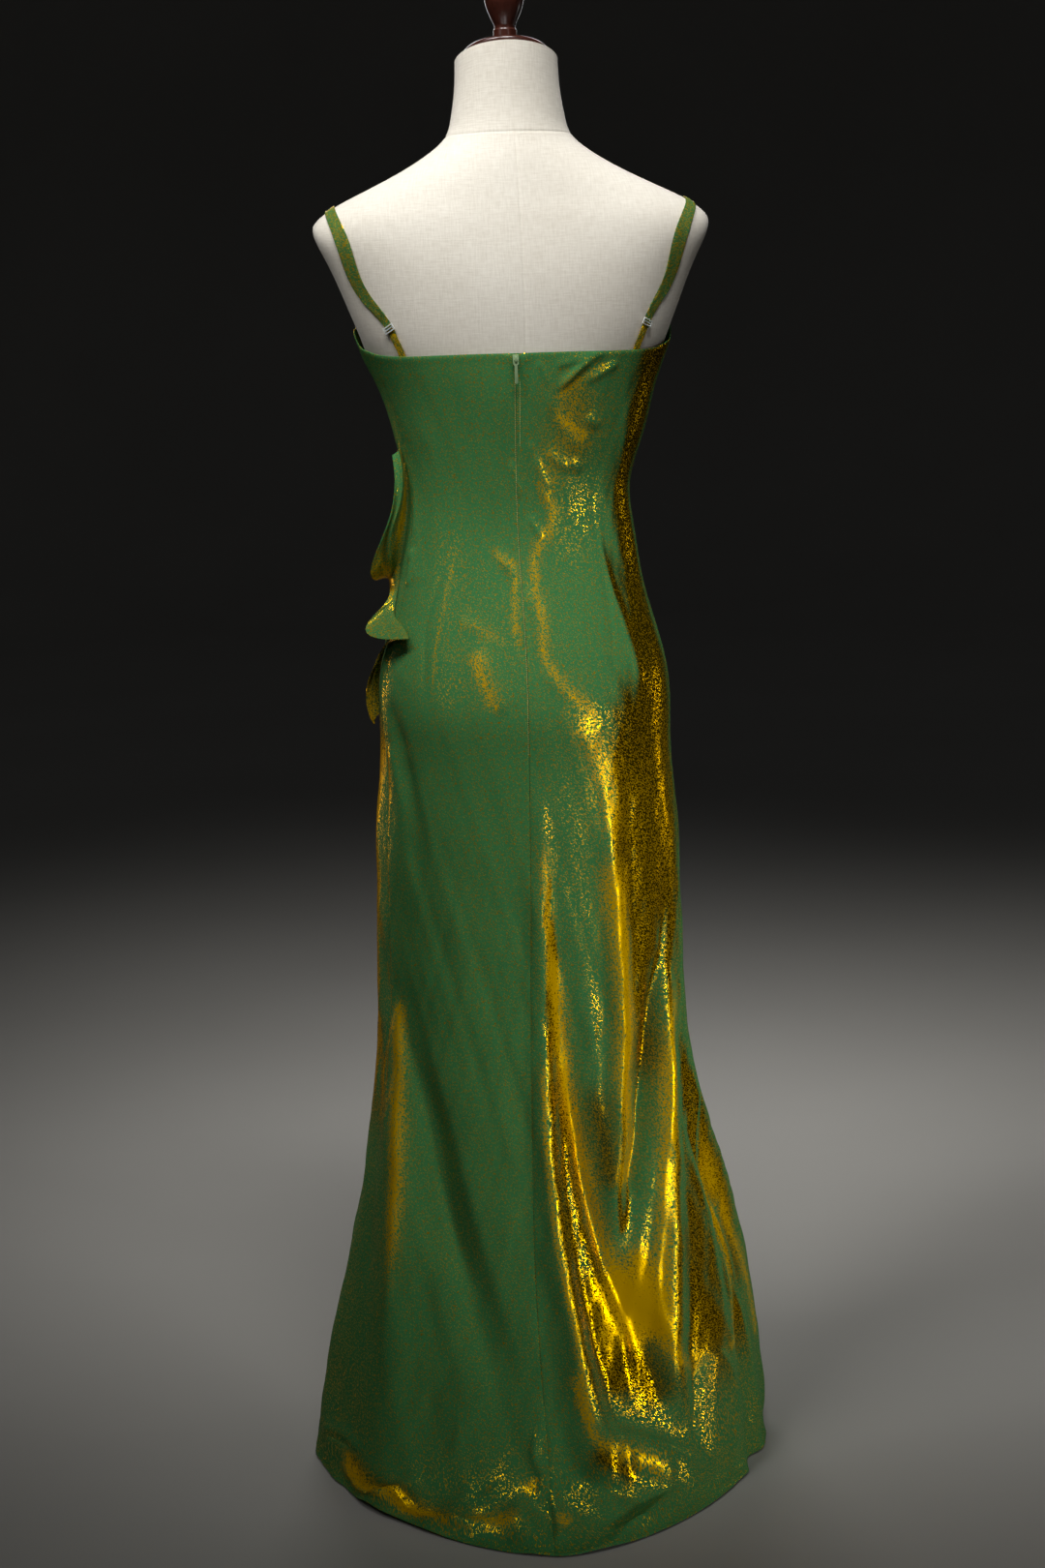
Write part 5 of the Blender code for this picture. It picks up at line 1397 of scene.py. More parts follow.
class StitchTree(Tree):
    """Short rounded stitches at an even pitch along paths."""

    def __init__(self) -> None:
        """Builds the tree."""
        super().__init__("stitches_along_a_path")
        self.socket("Pitch", "NodeSocketFloat", 0.003)
        self.socket("Length", "NodeSocketFloat", 0.002)
        self.socket("Thickness", "NodeSocketFloat", 0.0005)
        self.socket("Seed", "NodeSocketInt", 3)
        self.socket("Material", "NodeSocketMaterial")
        tree, start = self.tree, self.start.outputs
        ball = add_node(tree, "GeometryNodeMeshUVSphere", {"Segments": 6, "Rings": 4,
                                                           "Radius": 0.5})
        size = add_node(tree, "ShaderNodeCombineXYZ", {
            "X": start["Thickness"], "Y": start["Thickness"], "Z": start["Length"]})
        stitch = add_node(tree, "GeometryNodeTransform", {
            "Geometry": ball.outputs["Mesh"], "Scale": size.outputs["Vector"]})
        jitter = add_node(tree, "FunctionNodeRandomValue", {
            "Min": (0.9, 0.9, 0.8), "Max": (1.1, 1.1, 1.1), "Seed": start["Seed"]},
            data_type="FLOAT_VECTOR")
        self.lay_along(stitch.outputs["Geometry"], {"Scale": jitter.outputs[0]})


class CoilTree(Tree):
    """Loops of a zip's coil at an even pitch along a path."""

    def __init__(self) -> None:
        """Builds the tree."""
        super().__init__("coil_along_a_path")
        self.socket("Pitch", "NodeSocketFloat", 0.0012)
        self.socket("Width", "NodeSocketFloat", 0.0034)
        self.socket("Depth", "NodeSocketFloat", 0.0010)
        self.socket("Wire", "NodeSocketFloat", 0.00028)
        self.socket("Material", "NodeSocketMaterial")
        tree, start = self.tree, self.start.outputs
        loop = add_node(tree, "GeometryNodeCurvePrimitiveCircle", {"Resolution": 10,
                                                                   "Radius": 0.5})
        half = add_node(tree, "ShaderNodeCombineXYZ", {
            "X": start["Width"], "Y": start["Depth"], "Z": 1.0})
        flat = add_node(tree, "GeometryNodeTransform", {
            "Geometry": loop.outputs["Curve"], "Scale": half.outputs["Vector"]})
        wire = add_node(tree, "GeometryNodeCurvePrimitiveCircle", {"Resolution": 4,
                                                                   "Radius": start["Wire"]})
        ring = add_node(tree, "GeometryNodeCurveToMesh", {
            "Curve": flat.outputs["Geometry"], "Profile Curve": wire.outputs["Curve"]})
        self.lay_along(ring.outputs["Mesh"])


class TurnedTree(Tree):
    """Solid of revolution about Z from a chain of points at their radius and height."""

    def __init__(self) -> None:
        """Builds the tree."""
        super().__init__("turned_profile")
        self.socket("Segments", "NodeSocketInt", 96)
        self.socket("Material", "NodeSocketMaterial")
        tree, start = self.tree, self.start.outputs
        count = add_node(tree, "GeometryNodeAttributeDomainSize",
                         {"Geometry": start["Geometry"]}, component="MESH")
        sheet = add_node(tree, "GeometryNodeMeshGrid", {
            "Size X": 1.0, "Size Y": 1.0, "Vertices X": calc(tree, "ADD", start["Segments"], 1.0),
            "Vertices Y": count.outputs["Point Count"]})
        spot = add_node(tree, "GeometryNodeInputPosition")
        parts = add_node(tree, "ShaderNodeSeparateXYZ", {"Vector": spot.outputs["Position"]})
        turn = calc(tree, "MULTIPLY_ADD", parts.outputs["X"], math.tau, math.pi)
        last = calc(tree, "SUBTRACT", count.outputs["Point Count"], 1.0)
        share = calc(tree, "ADD", parts.outputs["Y"], 0.5)
        row = calc(tree, "ROUND", calc(tree, "MULTIPLY", share, last))
        read = add_node(tree, "GeometryNodeSampleIndex", {
            "Geometry": start["Geometry"], "Index": row},
            data_type="FLOAT_VECTOR", domain="POINT")
        where = add_node(tree, "GeometryNodeInputPosition")
        tree.links.new(where.outputs["Position"], read.inputs["Value"])
        profile = add_node(tree, "ShaderNodeSeparateXYZ", {"Vector": read.outputs["Value"]})
        ways = [calc(tree, "MULTIPLY", calc(tree, operation, turn), profile.outputs["X"])
                for operation in ("COSINE", "SINE")]
        place = add_node(tree, "ShaderNodeCombineXYZ", {
            "X": ways[0], "Y": ways[1], "Z": profile.outputs["Z"]})
        moved = add_node(tree, "GeometryNodeSetPosition", {
            "Geometry": sheet.outputs["Mesh"], "Position": place.outputs["Vector"]})
        closed = add_node(tree, "GeometryNodeMergeByDistance", {
            "Geometry": moved.outputs["Geometry"], "Distance": 0.00001})
        self.finish(closed.outputs["Geometry"])


@dataclass
class Workshop:
    """The node trees that the pieces share."""

    stitches: StitchTree = field(default_factory=StitchTree)
    coil: CoilTree = field(default_factory=CoilTree)
    turned: TurnedTree = field(default_factory=TurnedTree)

    def sew(self, name: str, paths: Sequence[Array], sizes: tuple[float, float, float],
            thread: Thread = THREAD, closed: bool = False) -> None:
        """Sews along paths and places the stitches as one piece.

        Args:
            name: Name of the piece.
            paths: One array of points for each path.
            sizes: Pitch, length and thickness of the stitches, in millimetres.
            thread: Finish of the thread.
            closed: Whether each path joins its own start.
        """
        pitch, length, thickness = (size * MM for size in sizes)
        place_piece(self.stitches.apply(name, chain_mesh(name + "_line", paths, closed), {
            "Pitch": pitch, "Length": length, "Thickness": thickness,
            "Material": thread.material()}))


def place_piece(made: bpy.types.Object, body: str = GOWN_BODY,
                stands_for: Sequence[str] = ()) -> bpy.types.Object:
    """Ties a finished piece to its body, hides the solids that it replaces, and reports it.

    Args:
        made: The piece.
        body: Body that carries it.
        stands_for: Nodes that it replaces.

    Returns:
        The piece.
    """
    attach(made, body)
    if stands_for:
        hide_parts(*stands_for)
    made.data.calc_loop_triangles()
    LOG.info("%s: %d triangles", made.name, len(made.data.loop_triangles))
    return made


def rounded_copy(node: str, width: float) -> bpy.types.Object:
    """Copy of a solid with its doubles merged and its edges rounded.

    Args:
        node: Name of the solid.
        width: Radius of the edges.

    Returns:
        An object with a plain mesh.
    """
    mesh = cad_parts[node].data.copy()
    with edited(mesh) as work:
        bmesh.ops.remove_doubles(work, verts=work.verts, dist=1e-6)
        bmesh.ops.dissolve_limit(work, angle_limit=math.radians(1.0), verts=work.verts,
                                 edges=work.edges)
        bmesh.ops.bevel(work, geom=[e for e in work.edges if e.calc_face_angle(0.0) > 0.5],
                        offset=width, segments=2, profile=0.5, affect="EDGES",
                        clamp_overlap=True)
    return link_object(node + "_moulded", smooth(mesh, 40.0))


# ---------------------------------------------------------------- gown

@dataclass
class Panel:
    """One cut panel of the gown between two seams."""

    name: str
    first: Seam
    last: Seam
    columns: int
    flat: tuple[float, float]
    area: float
    upper_rows: int = 150
    lower_rows: int = 170
    seam_gap: float = 0.2 * MM
    seam_dip: float = 0.35 * MM
    seam_wide: float = 1.8 * MM
    pucker: float = 0.15 * MM
    edge_shares: tuple[float, ...] = (0.0, 0.004, 0.009, 0.016, 0.026, 0.040)
    rim_drops: tuple[float, ...] = (0.0, 0.0012, 0.003, 0.006, 0.009)
    hem_rises: tuple[float, ...] = (0.0065, 0.0035, 0.0012, 0.0)

    def levels(self) -> Array:
        """Levels of the rows, closer together at the neckline, bodice and hem."""
        rim = NECK_START + np.array(self.rim_drops)
        upper = np.linspace(NECK_START + 0.012, HIP_DROP, self.upper_rows)
        lower = np.linspace(HIP_DROP, HEM_DROP - 0.010, self.lower_rows)[1:]
        return np.concatenate([rim, upper, lower, HEM_DROP - np.array(self.hem_rises)])

    def shares(self) -> Array:
        """Shares of the way from the first seam to the last, closer together at both."""
        edge = np.array(self.edge_shares)
        inner = np.linspace(edge[-1], 1.0 - edge[-1], self.columns)[1:-1]
        return np.concatenate([edge, inner, 1.0 - edge[::-1]])

    def grid(self) -> tuple[Array, Array]:
        """Angles and drops of the panel's points."""
        level = self.levels()
        share = self.shares()[None, :]
        first = self.first.angle(level)[:, None]
        last = self.last.angle(level)[:, None]
        spread = first + (last - first) * share
        drop = drop_at(spread, level[:, None])
        trim = 0.5 * self.seam_gap / metres_per_degree(drop)
        return spread + trim * (1.0 - 2.0 * share), drop

    def seam_relief(self, angle: Array, drop: Array) -> Array:
        """Press lines and small puckers beside the two seams, and the turned edges.

        Args:
            angle: Meridian angles of the grid.
            drop: Drops of the grid.

        Returns:
            Distances out.
        """
        girth = metres_per_degree(drop)
        total = np.zeros(angle.shape)
        for k, edge in enumerate((angle[:, :1], angle[:, -1:])):
            away = np.abs(angle - edge) * girth
            total -= self.seam_dip * np.exp(-(away / self.seam_wide) ** 2)
            beat = np.sin(drop * 2 * np.pi / 0.017 + 2.1 * np.sin(drop * 41.0 + k))
            beat = beat * (0.4 + 0.6 * np.sin(drop * 23.0 + 1.7 * k) ** 2)
            total += self.pucker * beat * np.exp(-(away / 0.007) ** 2)
        top = drop - drop[:1]
        total += 0.25 * MM * (1.0 - smooth_step(0.005, 0.008, top))
        total -= 0.45 * MM * (1.0 - smooth_step(0.0, 0.0016, top))
        end = HEM_DROP - drop
        total += 0.5 * MM * (1.0 - smooth_step(0.004, 0.007, end))
        return total - 0.5 * MM * (1.0 - smooth_step(0.0, 0.0015, end))

    @staticmethod
    def amount(rows: tuple[Crease, ...], angle: Array, drop: Array) -> Array:
        """How much of some rows each vertex of the two faces gets."""
        total = np.zeros(angle.shape)
        girth = metres_per_degree(drop)
        for row in rows:
            row.add(total, angle, drop, girth)
        return np.tile(total.ravel() / MM, 2)

    def build(self) -> bpy.types.Object:
        """Builds and dresses the panel."""
        angle, drop = self.grid()
        extra = self.seam_relief(angle, drop)
        outer = gown_point(angle, drop, CLOTH / 2 + extra)
        inner = gown_point(angle, drop, CLOTH / 2 - THIN + np.minimum(extra, 0.0))
        made = link_object(self.name + "_cloth", smooth(wall_mesh(self.name, outer, inner)))
        # painted shade and painted highlight, from the two tables of rows
        SHOT.dress(made, 1.0, self.amount(PAINTED_SHADES, angle, drop), self.amount(PAINTED_HIGHLIGHTS, angle, drop))
        place_piece(made, stands_for=(self.name,))
        return made


@dataclass
class Gown:
    """The three panels with their hem stitches."""

    panels: tuple[Panel, ...] = (
        Panel("back_left", Seam.CENTRE_BACK, Seam.SIDE_LEFT, 92, (0.40, 1.36), 0.335),
        Panel("back_right", Seam.SIDE_RIGHT, Seam.CENTRE_BACK, 96, (0.43, 1.36), 0.365),
        Panel("front", Seam.SIDE_LEFT, Seam.SIDE_RIGHT_FROM_FRONT, 132, (0.86, 1.36), 0.78),
    )
    hem_inset: float = 6.5 * MM

    def build(self, workshop: Workshop) -> None:
        """Builds the panels and sews the hem."""
        for panel in self.panels:
            panel.build()
        angle = np.linspace(-180.0, 180.0, 721)[:-1]
        drop = np.full(angle.shape, HEM_DROP - self.hem_inset)
        path = gown_point(angle, drop, CLOTH / 2 + 0.1 * MM)
        workshop.sew("hem_stitches", [path], (3.6, 2.4, 0.45), closed=True)


# ---------------------------------------------------------------- flounce

@dataclass
class Flounce:
    """Wavy strip sewn down the wearer's left side, from the waist to the hip."""

    rows: tuple[tuple[float, ...], ...] = (
        (1.104, 80.0, 0.1310, 0.0300, 1.097),
        (1.082, 81.0, 0.1305, 0.0350, 1.066),
        (1.058, 82.0, 0.1350, 0.0360, 1.033),
        (1.034, 83.0, 0.1470, 0.0280, 1.006),
        (1.012, 84.0, 0.1580, 0.0100, 0.980),
        (0.994, 85.0, 0.1530, -0.0120, 0.965),
        (0.979, 86.0, 0.1405, -0.0200, 0.966),
        (0.966, 85.0, 0.1370, -0.0080, 0.957),
        (0.955, 84.0, 0.1440, 0.0140, 0.944),
        (0.945, 83.0, 0.1650, 0.0310, 0.921),
        (0.936, 82.0, 0.1480, 0.0560, 0.909),
        (0.926, 81.0, 0.1210, 0.0730, 0.911),
        (0.914, 81.0, 0.1400, 0.0470, 0.905),
        (0.901, 82.0, 0.1500, 0.0240, 0.893),
        (0.885, 84.0, 0.1620, 0.0120, 0.868),
        (0.866, 86.0, 0.1680, 0.0060, 0.842),
        (0.846, 86.0, 0.1640, 0.0080, 0.824),
        (0.828, 85.0, 0.1600, 0.0150, 0.816),
    )
    # how far the strip is folded towards the back at each row, between seam and free edge
    fold: tuple[float, ...] = (3.0, 9.0, 13.0, 15.0, 13.0, 7.0, 2.0, 1.0, 0.0, 0.0, 0.0, 0.0,
                               2.0, 5.0, 5.0, 3.0, 1.0, 0.0)
    # how much painted gold highlight and how much painted brown shade each row gets
    gold: tuple[float, ...] = (0.0, 0.0, 0.0, 0.4, 1.0, 1.8, 2.0, 1.6, 0.8, 0.3, 0.2, 0.3,
                               0.5, 0.6, 0.7, 0.8, 0.9, 0.9)
    brown: tuple[float, ...] = (0.0, 0.0, 0.0, 0.0, 0.0, 0.0, 0.1, 0.1, 0.1, 0.3, 0.3, 0.3,
                                0.6, 0.8, 0.8, 0.8, 0.8, 0.8)
    along: int = 300
    across: int = 28
    thick: float = 0.7 * MM
    bulge: float = 3.5 * MM

    def middle(self) -> Array:
        """Grid of the strip's middle, from its sewn edge to its free edge."""
        data = np.array(self.rows)
        stations = np.arange(len(data), dtype=float)
        fine = np.linspace(0.0, stations[-1], self.along)
        height, angle, x, y, z = (Curve(stations, data[:, i]).read(fine) for i in range(5))
        root = gown_point(angle, DATUM - height, CLOTH / 2 + 0.8 * MM)
        edge = np.stack([x, y, z], axis=-1)
        share = np.linspace(0.0, 1.0, self.across)[None, :, None]
        flat = root[:, None, :] * (1.0 - share) + edge[:, None, :] * share
        normal = self.normal(flat)
        reach = np.linalg.norm(edge - root, axis=-1)[:, None, None]
        swell = np.sin(np.pi * share) * np.sin(2.0 * np.pi * fine / 5.3 + 0.8)[:, None, None]
        curl = share ** 3 * np.sin(2.0 * np.pi * fine / 3.1)[:, None, None]
        size = np.minimum(self.bulge, 0.22 * reach)
        made = flat + normal * size * (swell + 0.35 * curl)
        back = Curve(stations, self.fold).read(fine)[:, None] * MM
        made[..., 1] += back * np.exp(-np.abs((share[..., 0] - 0.42) / 0.24) ** 1.6) * (
            1.0 - share[..., 0] ** 4)
        return made

    @staticmethod
    def normal(points: Array) -> Array:
        """Unit normals of a grid of points."""
        return unit(np.cross(np.gradient(points, axis=1), np.gradient(points, axis=0)))

    def build(self, workshop: Workshop) -> None:
        """Builds the strip and the stitches of its sewn edge."""
        middle = self.middle()
        normal = self.normal(middle)
        edge = smooth_step(0.90, 0.985, np.linspace(0.0, 1.0, self.across))[None, :, None]
        half = self.thick / 2 * (1.0 + 0.5 * edge)
        mesh = wall_mesh("flounce", middle + normal * half, middle - normal * half)
        made = link_object("flounce_cloth", smooth(mesh, 60.0))
        station = np.linspace(0.0, len(self.rows) - 1.0, self.along)[:, None]
        share = np.linspace(0.0, 1.0, self.across)[None, :]
        # painted highlight (gold) and painted shade (brown) along the strip, more gold towards the
        # free edge
        gold, brown = (np.interp(station, range(len(self.rows)), row) + 0.0 * share
                       for row in (self.gold, self.brown))
        gold = gold * (0.4 + 0.6 * smooth_step(0.3, 0.8, share))
        # painted highlight: a gold line near the sewn edge of the upper rows
        gold += 1.8 * np.exp(-((share - 0.14) / 0.12) ** 2) * (1.0 - smooth_step(3.0, 5.0, station))
        SHOT.dress(made, 0.4, np.tile(brown.ravel(), 2), np.tile(gold.ravel(), 2))
        place_piece(made, stands_for=("flounce",))
        path = middle[:, 2] + normal[:, 2] * (self.thick / 2)
        workshop.sew("flounce_stitches", [path], (3.0, 2.1, 0.4))


# ---------------------------------------------------------------- straps

STRAP = Table(("turn", "across_left", "across_right", "wide", "lift"), (
    (-9.0, 0.1150, 0.1175, 0.0078, 2.60 * MM),
    (0.0, 0.1165, 0.1195, 0.0078, 2.60 * MM),
    (10.0, 0.1220, 0.1250, 0.0080, 1.90 * MM),
    (21.0, 0.1285, 0.1310, 0.0088, 1.00 * MM),
    (40.0, 0.1460, 0.1455, 0.0118, 0.85 * MM),
    (52.0, 0.1585, 0.1570, 0.0155, 0.85 * MM),
    (62.0, 0.1690, 0.1665, 0.0172, 1.00 * MM),
    (69.0, 0.1765, 0.1745, 0.0145, 1.20 * MM),
    (77.0, 0.1825, 0.1815, 0.0122, 1.20 * MM),
    (90.0, 0.1845, 0.1835, 0.0115, 1.20 * MM),
    (103.0, 0.1800, 0.1795, 0.0112, 1.20 * MM),
    (118.0, 0.1600, 0.1600, 0.0110, 1.00 * MM),
    (130.0, 0.1450, 0.1450, 0.0110, 0.85 * MM),
    (141.0, 0.1320, 0.1320, 0.0110, 1.20 * MM),
    (147.0, 0.1260, 0.1260, 0.0110, 1.40 * MM),
    (152.0, 0.1215, 0.1215, 0.0110, 1.40 * MM),
))


class Side(Enum):
    """Wearer's side."""

    LEFT = 1
    RIGHT = -1

    @property
    def word(self) -> str:
        """Name of the side in node names."""
        return self.name.lower()


@dataclass
class Straps:
    """Two shoulder straps, each with its tab and its clear slide."""

    centre: float = 1.200
    thick: float = 1.0 * MM
    step: float = 1.2
    bar_turns: tuple[float, ...] = (30.0, 31.4, 12.0)
    # name, first and last turn, painted brown shade and painted gold highlight, flat width and
    # length
    stretches: tuple[tuple[Any, ...], ...] = (
        ("strap", 21.17, 152.0, 0.4, 0.4, (0.0125, 0.36)),
        ("strap_tab", -9.0, 21.0, 0.6, 1.0, (0.010, 0.042)),
    )

    def inside(self, x: float, y: Array, height: Array) -> Array:
        """Below 1 inside the linen, above 1 outside it."""
        deep = np.where(y > 0.0, FORM.read("back", height), FORM.read("front", height))
        power = FORM.read("power", height)
        return np.abs(x / FORM.read("half", height)) ** power + np.abs(y / deep) ** power

    def on_form(self, turn: float, across: float) -> Array:
        """Outermost point of the linen along a ray that turns about the strap's centre line."""
        cos_turn, sin_turn = math.cos(math.radians(turn)), math.sin(math.radians(turn))
        reach = np.arange(0.0, 0.3, MM)
        held = self.inside(across, reach * cos_turn, self.centre + reach * sin_turn) < 1.0
        low = float(reach[np.nonzero(held)[0][-1]])
        high = low + MM
        for _ in range(20):
            middle = 0.5 * (low + high)
            y, z = np.array(middle * cos_turn), np.array(self.centre + middle * sin_turn)
            if self.inside(across, y, z) < 1.0:
                low = middle
            else:
                high = middle
        height = self.centre + low * sin_turn
        y = low * cos_turn - float(bust(np.array(across), np.array(height), np.array(-cos_turn)))
        return np.array([across, y, height])

    def frame_at(self, side: Side, turn: float) -> tuple[Array, Array, Array]:
        """Middle of the strap with its width direction and outward direction."""
        name = "across_" + side.word
        across = float(STRAP.read(name, turn))
        here = self.on_form(turn, across)
        ahead = self.on_form(turn + 1.5, float(STRAP.read(name, turn + 1.5)))
        behind = self.on_form(turn - 1.5, float(STRAP.read(name, turn - 1.5)))
        along = unit(ahead - behind)
        width_way = self.on_form(turn, across + 0.003) - self.on_form(turn, across - 0.003)
        width_way = unit(width_way - along * float(width_way @ along))
        up = np.cross(along, width_way)
        if up @ np.array([0.0, math.cos(math.radians(turn)), math.sin(math.radians(turn))]) < 0:
            up = -up
        here = here + up * float(STRAP.read("lift", turn))
        mirror = np.array([side.value, 1.0, 1.0])
        return here * mirror, width_way * mirror, up * mirror

    def stretch(self, side: Side, first: float, last: float) -> Array:
        """Closed sections of a flat tube between two turns.

        Args:
            side: The wearer's side.
            first: Turn of the start.
            last: Turn of the end.

        Returns:
            Sections of equal count, with rounded edges and small crumples.
        """
        around = np.linspace(0.0, 2.0 * np.pi, 20, endpoint=False)
        power = 0.55
        wide = np.sign(np.cos(around)) * np.abs(np.cos(around)) ** power
        tall = np.sign(np.sin(around)) * np.abs(np.sin(around)) ** power
        rings = []
        for turn in np.linspace(first, last, max(6, int((last - first) / self.step))):
            here, width_way, up = self.frame_at(side, turn)
            half = float(STRAP.read("wide", turn)) / 2
            wrinkle = 0.22 * MM * np.sin(np.radians(turn * 31.0) + wide * 3.0) * (tall > 0.2)
            wrinkle += 0.18 * MM * np.sin(np.radians(turn * 17.0) - wide * 5.0) * (tall > 0.2)
            body = here + width_way * (half * wide)[:, None]
            rings.append(body + up * (self.thick / 2 * tall + wrinkle)[:, None])
        return np.array(rings)

    def tube(self, name: str, rings: Array) -> bpy.types.Object:
        """Object of a closed tube through sections, with its UV map."""
        count = rings.shape[1]
        mesh = ring_mesh(name, rings)
        with edited(mesh) as work:
            work.verts.ensure_lookup_table()
            work.faces.new([work.verts[i] for i in range(count)])
            base = (len(rings) - 1) * count
            work.faces.new([work.verts[base + i] for i in range(count - 1, -1, -1)])
            bmesh.ops.recalc_face_normals(work, faces=work.faces)
        seam = np.concatenate([rings, rings[:, :1]], axis=1)
        uv = grid_uv(seam).reshape(len(rings), count + 1, 2)[:, :count].reshape(-1, 2)
        lay_uv(mesh, uv)
        return link_object(name, smooth(mesh, 60.0))

    def build(self, workshop: Workshop) -> None:
        """Builds both straps, their tabs, their slides and the sewn bars."""
        bars = []
        for side in Side:
            for name, first, last, brown, gleam, flat in self.stretches:
                node = f"{name}_{side.word}"
                made = self.tube(node + "_cloth", self.stretch(side, first, last))
                # painted shade and painted highlight, the same all along each stretch
                SHOT.dress(made, 0.35, brown, gleam)
                place_piece(made, stands_for=(node,))
            slide = rounded_copy(f"adjuster_{side.word}", 0.25 * MM)
            CLEAR.dress(slide)
            place_piece(slide, stands_for=(f"adjuster_{side.word}",))
            for turn in self.bar_turns:
                here, width_way, up = self.frame_at(side, turn)
                half = 0.36 * float(STRAP.read("wide", turn))
                raised = here + up * (self.thick / 2 + 0.15 * MM)
                bars.append(np.array([raised + width_way * half * k for k in (-1.0, 0.0, 1.0)]))
        workshop.sew("strap_bar_tacks", bars, (1.5, 1.4, 0.4))


# ---------------------------------------------------------------- zip

@dataclass
class Zip:
    """Concealed zip at the centre back: tape, coil, slider and pull tab."""

    top: float = NECK_START + 0.003
    end: float = DATUM - 0.795
    half_tape: float = 10.0 * MM
    tape: float = 0.6 * MM
    behind: float = 1.0 * MM
    # stitched edges beside the zip: degrees from it and last drop of each, and their first drop
    edges: tuple[tuple[float, float], ...] = ((0.45, end), (-2.6, 0.165))
    edge_top: float = 0.102

    def strip(self, out: float, half: float, count: int) -> Array:
        """Grid down the centre back at a distance from the wall's middle."""
        drop = np.linspace(self.top, self.end, 150)[:, None]
        reach = np.degrees(half / GOWN.read("back", drop)) * np.linspace(-1.0, 1.0, count)
        return gown_point(CENTRE.read("angle", drop) + reach, drop, out)

    def build(self, workshop: Workshop) -> None:
        """Builds the tape, the coil, the stitches beside it, the slider and the tab."""
        near = -(CLOTH / 2 + self.behind - 0.4 * MM)
        outer = self.strip(near, self.half_tape, 13)
        inner = self.strip(near - self.tape, self.half_tape, 13)
        made = link_object("zip_tape_woven", smooth(wall_mesh("zip_tape", outer, inner)))
        TAPE.dress(made)
        place_piece(made, stands_for=("zip_tape",))
        path = self.strip(near - self.tape - 0.45 * MM, 0.1 * MM, 3)[:, 1]
        coil = workshop.coil.apply("zip_coil", chain_mesh("coil", [path]), {
            "Pitch": 1.5 * MM, "Width": 0.9 * MM, "Depth": 3.2 * MM, "Wire": 0.25 * MM,
            "Material": COIL.material()})
        place_piece(coil)
        lines = [self.strip(near - self.tape - 0.1 * MM, 5.0 * MM, 3)[:, k] for k in (0, 2)]
        workshop.sew("zip_stitches", lines, (2.6, 1.9, 0.35))
        edges = []
        for away, last in self.edges:
            drop = np.linspace(self.edge_top, last, 200)
            edges.append(gown_point(CENTRE.read("angle", drop) + away, drop,
                                    CLOTH / 2 + 0.05 * MM))
        workshop.sew("zip_edge_stitches", edges, (2.2, 1.9, 0.8), thread=PALE_THREAD)
        for node, edge, body in (("zip_slider", 0.25, GOWN_BODY), ("zip_pull", 0.18, PULL_BODY)):
            place_piece(ZIP_PAINT.dress(rounded_copy(node, edge * MM)), body, (node,))


# ---------------------------------------------------------------- dress form

